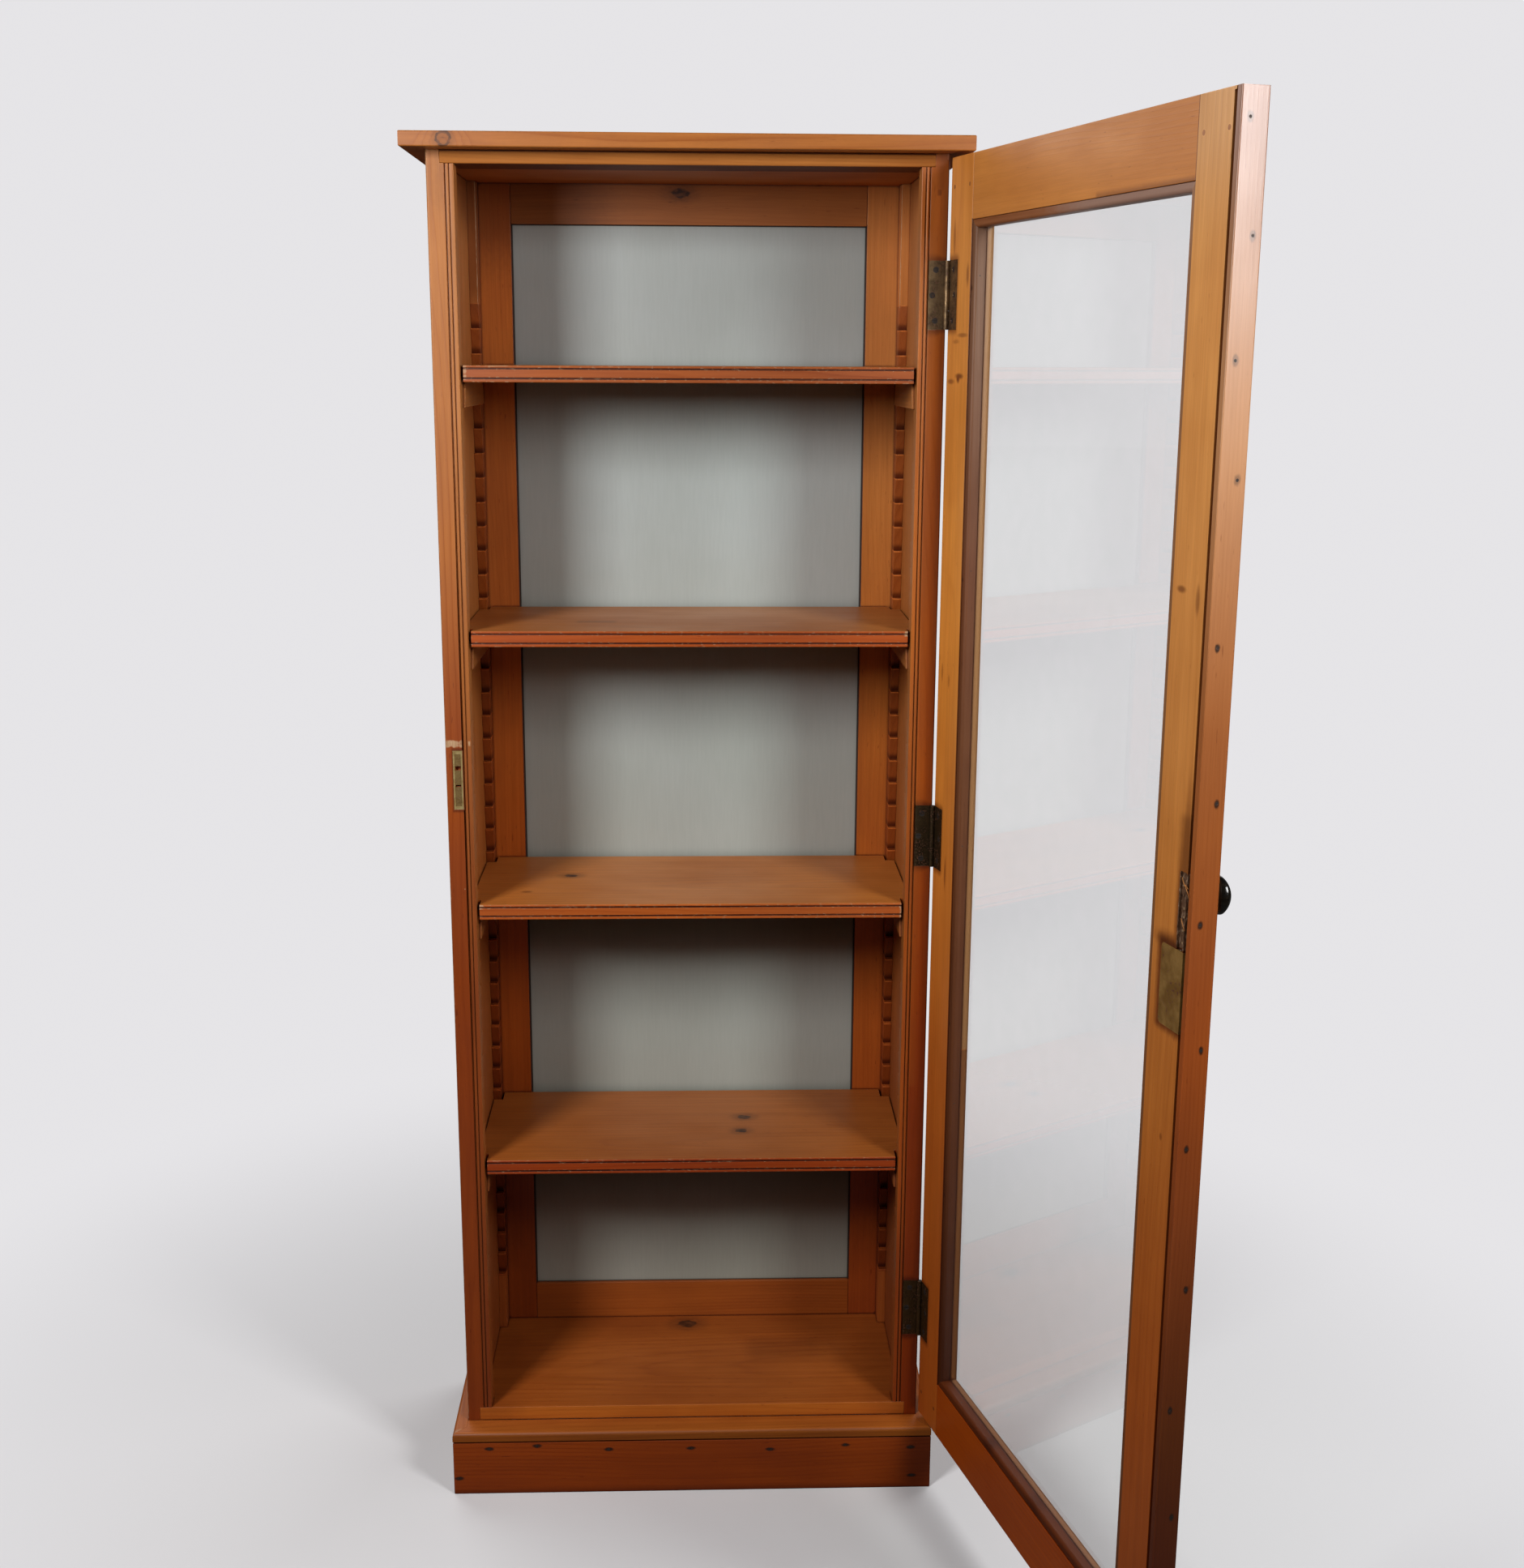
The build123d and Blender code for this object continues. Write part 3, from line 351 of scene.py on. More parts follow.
def pine(name, grain="z", seed=0, door=False, pith=(0.05, 0.07), tone=(1.0, 1.0, 1.0), tone_and_shade_by_height=PLAIN, face=PLAIN,
         under=None, spacing=0.0046, figure=0.45, streaks=0.5, blotch=0.85, drift=0.02, knots=(), spots=(), stains_and_shade=(),
         marks=(), paint=(), scuffs_and_highlights=(), torn=(), ends=None, toothed=False, worn=0.5, chips=0.0, grime_and_shade=0.9, gloss=0.42,
         shine=0.42):
    """Waxed old pine: rings round a pith off the board, fibres, tone, knots, stains, dirt and worn arrises, with
    painted shade in corners and grooves, under downward faces and by height.
    """
    material, tree = new_material(name)
    place, parts, board = grain_space(tree, grain, door)
    rest = add(tree, "ShaderNodeTexCoord").outputs["Object"]
    rng = random.Random(seed)
    seeded = vector_maths(tree, "ADD", board, (rng.uniform(-5, 5), rng.uniform(-5, 5), rng.uniform(-5, 5)))

    ripple = stretched(tree, seeded, (230.0, 230.0, 120.0))
    patch = stretched(tree, seeded, (14.0, 14.0, 2.5))
    fibre = stretched(tree, seeded, (900.0, 900.0, 22.0), 3.0, 0.6)
    streak = stretched(tree, seeded, (150.0, 150.0, 2.4), 3.0, 0.55)
    cloud = stretched(tree, seeded, (8.0, 8.0, 4.5), 3.0, 0.6)
    fleck = stretched(tree, seeded, (420.0, 420.0, 60.0), 1.0)
    radius, knot_masks = knotted(tree, board, ripple, swayed_radius(tree, board, seeded, pith, drift), knots)
    late = late_wood(tree, radius, spacing, patch)

    colour = times(tree, by_height(tree, parts[2], PINE_SHADE_BY_HEIGHT), tone)
    # Painted light and shade by height, with some of the board's own tone.
    if tone_and_shade_by_height is not PLAIN:
        colour = times(tree, colour, by_height(tree, parts[2], tone_and_shade_by_height))
    # The front faces' own colour by height, partly the wood's colour and partly painted light and shade.
    if face is not PLAIN:
        colour = times(tree, colour, by_height(tree, parts[2], face), turned_to(tree, 1))
    # Painted shade: faces that look down are darkened.
    if under is not None:
        colour = times(tree, colour, under, turned_to(tree, 2))
    colour = mix_rgba(tree, maths(tree, "MULTIPLY", late, figure), colour, times(tree, colour, (0.60, 0.40, 0.22)))
    colour = varied(tree, colour, streak, 0.3, 0.72, (1.10, 1.10, 1.12), (0.86, 0.80, 0.72), streaks)
    colour = varied(tree, colour, cloud, 0.28, 0.74, (1.10, 1.13, 1.2), (0.86, 0.78, 0.66), blotch)
    colour = varied(tree, colour, fibre, 0.25, 0.75, (1.07, 1.07, 1.07), (0.92, 0.90, 0.87), 0.7)
    colour = times(tree, colour, (0.50, 0.36, 0.26), ranged(tree, fleck, 0.72, 0.80, 0.0, 0.6))
    if knots:
        brown = mix_rgba(tree, ranged(tree, ripple, 0.35, 0.65), (0.040, 0.013, 0.005), (0.12, 0.038, 0.012))
        colour = mix_rgba(tree, strongest(tree, knot_masks), colour, brown)
    if stains_and_shade:
        colour = stained_and_shaded(tree, colour, rest, cloud, ripple, stains_and_shade)
    if marks:
        colour = bruised(tree, colour, board, ripple, marks)
    for low, high, spread, strength, shade in paint:
        gap = box_gap(tree, place, low, high, ripple, spread * 0.5)
        colour = mix_rgba(tree, ranged(tree, gap, 0.0, spread, strength, 0.0), colour, shade)
    if toothed:
        colour = with_teeth(tree, colour, parts[2], streak)
    if spots:
        colour = spotted(tree, colour, rest, ripple, spots, grain)
    if torn:
        colour, torn_mask = frayed(tree, colour, rest, seeded, ripple, torn)
    if scuffs_and_highlights:
        colour = scuffed_and_highlighted(tree, colour, rest, ripple, fibre, scuffs_and_highlights)
    if ends is not None:
        colour = jointed(tree, colour, board, ends)

    flat = flatness(tree, 0.0016)
    hollow = openness(tree, 0.0045, 8)
    rub = ranged(tree, flat, 0.80, 0.985, 1.0, 0.0)
    rub = maths(tree, "MULTIPLY", rub, ranged(tree, patch, 0.35, 0.65, 0.2, 1.0))
    rub = maths(tree, "MULTIPLY", rub, ranged(tree, hollow, 0.80, 0.97))
    bare = vector_maths(tree, "ADD", times(tree, colour, (1.45, 1.6, 1.9)), (0.02, 0.014, 0.008))
    colour = mix_rgba(tree, maths(tree, "MULTIPLY", rub, worn), colour, bare)
    if chips:
        nick = ranged(tree, stretched(tree, seeded, (330.0, 330.0, 210.0), 1.0), 0.60, 0.66)
        nick = maths(tree, "MULTIPLY", nick, ranged(tree, flat, 0.955, 0.995, chips, 0.0))
        colour = mix_rgba(tree, nick, colour, (0.50, 0.33, 0.19))
    # Painted shade with some dirt: darker where the openness is low, in corners, grooves and joints.
    dirt_and_shade = ranged(tree, hollow, 0.45, 0.86, grime_and_shade, 0.0)
    if torn:
        dirt_and_shade = maths(tree, "MULTIPLY", dirt_and_shade, ranged(tree, torn_mask, 0.0, 1.0, 1.0, 0.15))
    colour = times(tree, colour, WAX_DIRT_AND_SHADE, dirt_and_shade)

    rough = ranged(tree, cloud, 0.25, 0.75, gloss - 0.05, gloss + 0.09)
    rough = maths(tree, "MULTIPLY_ADD", late, -0.05, rough)
    relief = maths(tree, "MULTIPLY_ADD", late, 0.5, maths(tree, "MULTIPLY", fibre, 0.35))
    relief = maths(tree, "MULTIPLY_ADD", fleck, 0.4, relief)
    coated(tree, Base_Color=colour, Roughness=rough, Normal=bumped(tree, relief, 0.35, 0.00025),
           Specular_IOR_Level=shine)
    return material


# Painted panel

BOARD_THICKNESS = 0.019
# The underside, where the shade starts and is full below it, and its strength
SHELF_SHADE = ((0.430, 0.19, 0.10, 0.80), (0.766, 0.15, 0.07, 0.92), (1.103, 0.10, 0.03, 0.62),
               (1.409, 0.085, 0.01, 0.41))


def painted_panel(name):
    """Grey-green paint with a painted shadow line round it, painted shade in its corners and painted shade under each
    shelf.
    """
    material, tree = new_material(name)
    place = add(tree, "ShaderNodeTexCoord").outputs["Object"]
    cloud = noise(tree, place, 5.0, 4.0)
    laid = stretched(tree, place, (500.0, 500.0, 30.0))
    parts = add(tree, "ShaderNodeSeparateXYZ", {"Vector": place}).outputs
    base = ramp(tree, maths(tree, "DIVIDE", parts[2], 1.68),
                ((0.1, (0.360, 0.362, 0.315)), (0.4, (0.378, 0.405, 0.375)), (0.72, (0.395, 0.430, 0.420)),
                 (0.9, (0.355, 0.385, 0.378))))
    colour = varied(tree, base, cloud, 0.3, 0.7, (1.03, 1.03, 1.03), (0.95, 0.95, 0.93), 1.0)
    colour = varied(tree, colour, laid, 0.3, 0.7, (1.015, 1.015, 1.015), (0.98, 0.98, 0.98), 1.0)
    # Painted shade: the paint darkens in the corners round the frame.
    hollow = openness(tree, 0.02, 6)
    colour = times(tree, colour, (0.45, 0.38, 0.3), ranged(tree, hollow, 0.3, 0.85, 0.5, 0.0))
    # Painted shadow: a thin dark line at the panel's sides, top and bottom, where the frame shades it.
    aside = maths(tree, "ABSOLUTE", parts[0])
    line = strongest(tree, [ranged(tree, aside, 0.2193, 0.2203, 0.0, 0.95),
                            ranged(tree, parts[2], 1.5967, 1.5976, 0.0, 0.95),
                            ranged(tree, parts[2], 0.1590, 0.1598, 0.8, 0.0)])
    colour = mix_rgba(tree, line, colour, (0.022, 0.010, 0.006))
    # Painted shadow below each shelf, on the front face only.
    shelf_shadow = [maths(tree, "MULTIPLY", ranged(tree, parts[2], shelf - start, shelf - full, 0.0, strength),
                  ranged(tree, parts[2], shelf, shelf + BOARD_THICKNESS, 1.0, 0.0))
            for shelf, start, full, strength in SHELF_SHADE]
    shelf_shadow = maths(tree, "MULTIPLY", strongest(tree, shelf_shadow), turned_to(tree, 1))
    colour = times(tree, colour, (0.30, 0.26, 0.18), shelf_shadow)
    coated(tree, Base_Color=colour, Roughness=0.62, Normal=bumped(tree, laid, 0.25, 0.0002), Specular_IOR_Level=0.3)
    return material


# Metals, glass and knob

def old_metal(name, dark, bright, rust, rough=0.42, metal=0.85, scale=60.0, tone_and_shade_by_height=PLAIN, dished=None):
    """Dull metal with rust specks and rubbed arrises. Dished metal is darker from that depth on."""
    material, tree = new_material(name)
    place = add(tree, "ShaderNodeTexCoord").outputs["Object"]
    cloud = noise(tree, place, scale, 5.0, 0.65)
    speck = noise(tree, place, scale * 8, 3.0)
    colour = mix_rgba(tree, ranged(tree, cloud, 0.34, 0.68), dark, bright)
    parts = add(tree, "ShaderNodeSeparateXYZ", {"Vector": place}).outputs
    # Painted light and shade by height.
    if tone_and_shade_by_height is not PLAIN:
        colour = times(tree, colour, by_height(tree, parts[2], tone_and_shade_by_height))
    if dished is not None:
        colour = times(tree, colour, (0.55, 0.46, 0.36), ranged(tree, parts[1], dished * 0.3, dished * 0.7))
    rusty = maths(tree, "MULTIPLY", ranged(tree, speck, 0.5, 0.66), ranged(tree, cloud, 0.56, 0.44))
    colour = mix_rgba(tree, rusty, colour, rust)
    rub = ranged(tree, flatness(tree, 0.0008), 0.78, 0.985, 0.7, 0.0)
    colour = mix_rgba(tree, rub, colour, times(tree, colour, (2.2, 2.1, 1.9)))
    colour = times(tree, colour, (0.2, 0.16, 0.12), ranged(tree, openness(tree, 0.004, 6), 0.3, 0.8, 0.8, 0.0))
    coated(tree, Base_Color=colour, Roughness=ranged(tree, cloud, 0.3, 0.7, rough + 0.2, rough),
           Metallic=ranged(tree, rusty, 0.0, 0.6, metal, 0.1), Specular_IOR_Level=0.5,
           Normal=bumped(tree, maths(tree, "ADD", speck, cloud), 0.5, 0.0003))
    return material


def clear_glass(name):
    """Slightly wavy window glass that lets the lamps' light through."""
    material, tree = new_material(name)
    place = add(tree, "ShaderNodeTexCoord").outputs["Object"]
    wave = noise(tree, place, 7.0, 1.0)
    dust = noise(tree, place, 40.0, 5.0)
    colour = mix_rgba(tree, ranged(tree, dust, 0.3, 0.7), (0.995, 1.0, 0.998), (0.98, 0.99, 0.985))
    pane = add(tree, "ShaderNodeBsdfPrincipled",
               {"Base Color": colour, "Roughness": 0.0, "IOR": 1.5, "Transmission Weight": 1.0,
                "Normal": bumped(tree, wave, 0.08, 0.0005)}).outputs[0]
    through = add(tree, "ShaderNodeBsdfTransparent", {"Color": (0.93, 0.96, 0.95, 1.0)}).outputs[0]
    shadow_ray = add(tree, "ShaderNodeLightPath").outputs["Is Shadow Ray"]
    surface(tree, add(tree, "ShaderNodeMixShader", {0: shadow_ray, 1: pane, 2: through}).outputs[0])
    return material


def ebonised(name):
    """Polished black wood, rubbed brown in places."""
    material, tree = new_material(name)
    place = add(tree, "ShaderNodeTexCoord").outputs["Object"]
    grain = stretched(tree, place, (60.0, 60.0, 400.0), 3.0)
    rubs = noise(tree, place, 90.0, 4.0)
    colour = mix_rgba(tree, ranged(tree, grain, 0.3, 0.7), (0.0045, 0.0035, 0.003), (0.011, 0.008, 0.005))
    colour = mix_rgba(tree, ranged(tree, rubs, 0.62, 0.74, 0.0, 0.7), colour, (0.075, 0.045, 0.028))
    coated(tree, Base_Color=colour, Roughness=ranged(tree, rubs, 0.3, 0.7, 0.12, 0.26), Specular_IOR_Level=0.35,
           Coat_Weight=0.2, Coat_Roughness=0.1, Normal=bumped(tree, grain, 0.2, 0.0002))
    return material


def placed(name, data):
    """A new object in the scene."""
    thing = bpy.data.objects.new(name, data)
    bpy.context.scene.collection.objects.link(thing)
    return thing


def dress(node, material):
    for opening in nodes[node].material_slots:
        opening.link = "DATA"
    nodes[node].data.materials.clear()
    nodes[node].data.materials.append(material)


# Boards with soft arrises

def carrier(node):
    """The name of the body that a node rides on."""
    return next(name for name, members in frame["record"]["behaviour"]["bodies"].items() if node in members)


def softened(node, material, width, shortest, clamped):
    """A copy of a board with its sharp arrises rounded, which stands for the node."""
    form = bmesh.new()
    form.from_mesh(nodes[node].data)
    bmesh.ops.remove_doubles(form, verts=form.verts, dist=1e-6)
    bmesh.ops.dissolve_limit(form, angle_limit=math.radians(0.6), verts=form.verts, edges=form.edges)
    sharp = [edge for edge in form.edges
             if edge.calc_face_angle(0.0) > math.radians(35) and edge.calc_length() > shortest]
    bmesh.ops.bevel(form, geom=sharp, offset=width, offset_type="OFFSET", segments=2, profile=0.5,
                    affect="EDGES", clamp_overlap=clamped)
    for face in form.faces:
        face.smooth = True
    mesh = bpy.data.meshes.new(node + "_soft")
    form.to_mesh(mesh)
    form.free()
    mesh.set_sharp_from_angle(angle=math.radians(32))
    mesh.materials.append(material)
    piece = placed(node + "_soft", mesh)
    weighted = piece.modifiers.new("even_shading", "WEIGHTED_NORMAL")
    weighted.keep_sharp = True
    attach(piece, carrier(node))
    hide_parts(node)
    return piece


# The boards

def door_box(s_range, n_range, z_range):
    """Lowest and highest corners of a box on the open door, for stains round its fittings."""
    corners = [on_door(s, n, z) for s in s_range for n in n_range for z in z_range]
    return (tuple(min(c[i] for c in corners) for i in range(3)),
            tuple(max(c[i] for c in corners) for i in range(3)))


def closed_box(s_range, n_range, z_range):
    """Lowest and highest corners of a box in the closed door's own axes, which start at the hinge."""
    return ((-0.0015 - s_range[1] / 1000, -0.0016 - n_range[1] / 1000, z_range[0] / 1000),
            (-0.0015 - s_range[0] / 1000, -0.0016 - n_range[0] / 1000, z_range[1] / 1000))


def door_mark(s, z, half_width, half_height, strength):
    """A dark mark on the inner face of the door, sized in mm, for the marks of a board with upright grain."""
    return ((-0.0015 - s / 1000, -0.0016, z / 1000), (half_width / 1000, 0.012, half_height / 1000), strength)


HINGE_HEIGHTS = (1.508, 0.872, 0.241)
side_hinge_stains = [((0.270, -0.002, z - 0.038), (0.293, 0.003, z + 0.038), 0.010, 0.75) for z in HINGE_HEIGHTS]
stile_hinge_stains = [(*door_box((0, 20), (0, 2), (z * 1000 - 38, z * 1000 + 38)), 0.009, 0.7)
                      for z in HINGE_HEIGHTS]
lock_stains = [(*door_box((540, 578), (0, 2), (830, 910)), 0.010, 0.9),
               (*door_box((566, 576), (0, 3), (915, 984)), 0.007, 0.45),
               (*door_box((568, 577), (0, 2), (984, 1030)), 0.012, 0.4)]
torn_recess = ((*door_box((566.5, 577.4), (0, 3.2), (912, 983)), 0.0016),
               (*door_box((571, 578), (0, 1), (955, 968)), 0.0014))
strip_shares = (0.016, 0.076, 0.141, 0.205, 0.298, 0.388, 0.460, 0.538, 0.600, 0.693, 0.774, 0.850, 0.916, 0.985)
strip_spots = [(*on_door(588, (9.6, 18.8)[i % 2], 1657 - share * 1563), 0.0026 if share > 0.25 else 0.0032, 1.6,
                0.92 if share > 0.25 else 0.5) for i, share in enumerate(strip_shares)]
plinth_shares = ((-0.977, 0.31), (-0.850, 0.885), (-0.650, 0.930), (-0.353, 0.846), (-0.010, 0.845),
                 (0.323, 0.804), (0.640, 0.865), (0.915, 0.804), (0.922, 0.24))
plinth_spots = [(x * 0.309, -0.031, z * 0.073, 0.0027, 2.2, 0.94) for x, z in plinth_shares]
# Painted shade in the quirk under the plinth moulding's nose.
moulding_quirk_shade = (((-0.3052, -0.0272, 0.0728), (0.3052, 0.25, 0.0749), 0.0006, 0.95),)
MITRE_WEAR = (((-0.312, -0.032, 0.0868), (-0.293, -0.022, 0.0872), 0.004, 0.35),)
stile_marks = [door_mark(*place) for place in (
    (35.9, 1418.5, 7.0, 2.2, 0.85), (33.0, 1416.0, 3.0, 3.4, 0.9), (13.4, 1412.5, 6.0, 2.0, 0.6),
    (42.0, 1463.5, 9.0, 1.6, 0.55), (24.3, 1456.6, 6.0, 1.6, 0.35), (51.1, 1528.5, 2.4, 8.0, 0.6),
    (12.7, 1571.0, 2.2, 12.0, 0.5), (12.0, 1075.8, 2.0, 7.0, 0.4), (31.7, 1068.5, 1.8, 5.0, 0.4),
    (36.4, 834.3, 1.8, 12.0, 0.6))]
bead_marks = [door_mark(*place) for place in (
    (59, 1514, 3.0, 2.2, 0.8), (59, 1191, 3.0, 2.0, 0.7), (59, 653, 3.0, 2.0, 0.7), (59, 428, 3.0, 2.2, 0.7))]
lock_marks = [door_mark(*place) for place in (
    (538.9, 1237.7, 5.0, 2.2, 0.7), (566.9, 1230.5, 2.4, 9.0, 0.55), (557.7, 720.4, 1.6, 2.6, 0.5),
    (572.0, 940.0, 7.0, 60.0, 0.55), (560.0, 912.0, 22.0, 7.0, 0.55), (573.0, 1000.0, 5.0, 45.0, 0.5))]
STILE_ENDS = (-0.2215, 0.2215)
RAIL_ENDS = (-0.525, -0.0605)
# Painted shade on the shelves' undersides.
SHELF_UNDERSIDE_SHADE = (0.7, 0.6, 0.5)


def shelf_quirk_shade(top):
    """Painted shade in the two quirks of a shelf's front edge."""
    return tuple(((-0.2583, 0.004, top - depth - 0.0018), (0.2583, 0.0064, top - depth), 0.0003, 1.0)
                 for depth in (0.0026, 0.0136))


# How finely and how safely each board's arrises are rounded
FINE_FORMS = ("shelf_", "front_rack", "rear_rack", "glazing_bead", "plinth_moulding", "door_lock_stile")
PLAIN_FORMS = ("back_bottom", "back_top", "bearer", "floor_board", "head_board", "top_board", "shelf_", "front_rack",
               "rear_rack", "plinth_left", "plinth_right", "plinth_moulding")
NAILED_FORMS = ("back_stile", "plinth_front", "plinth_packer")

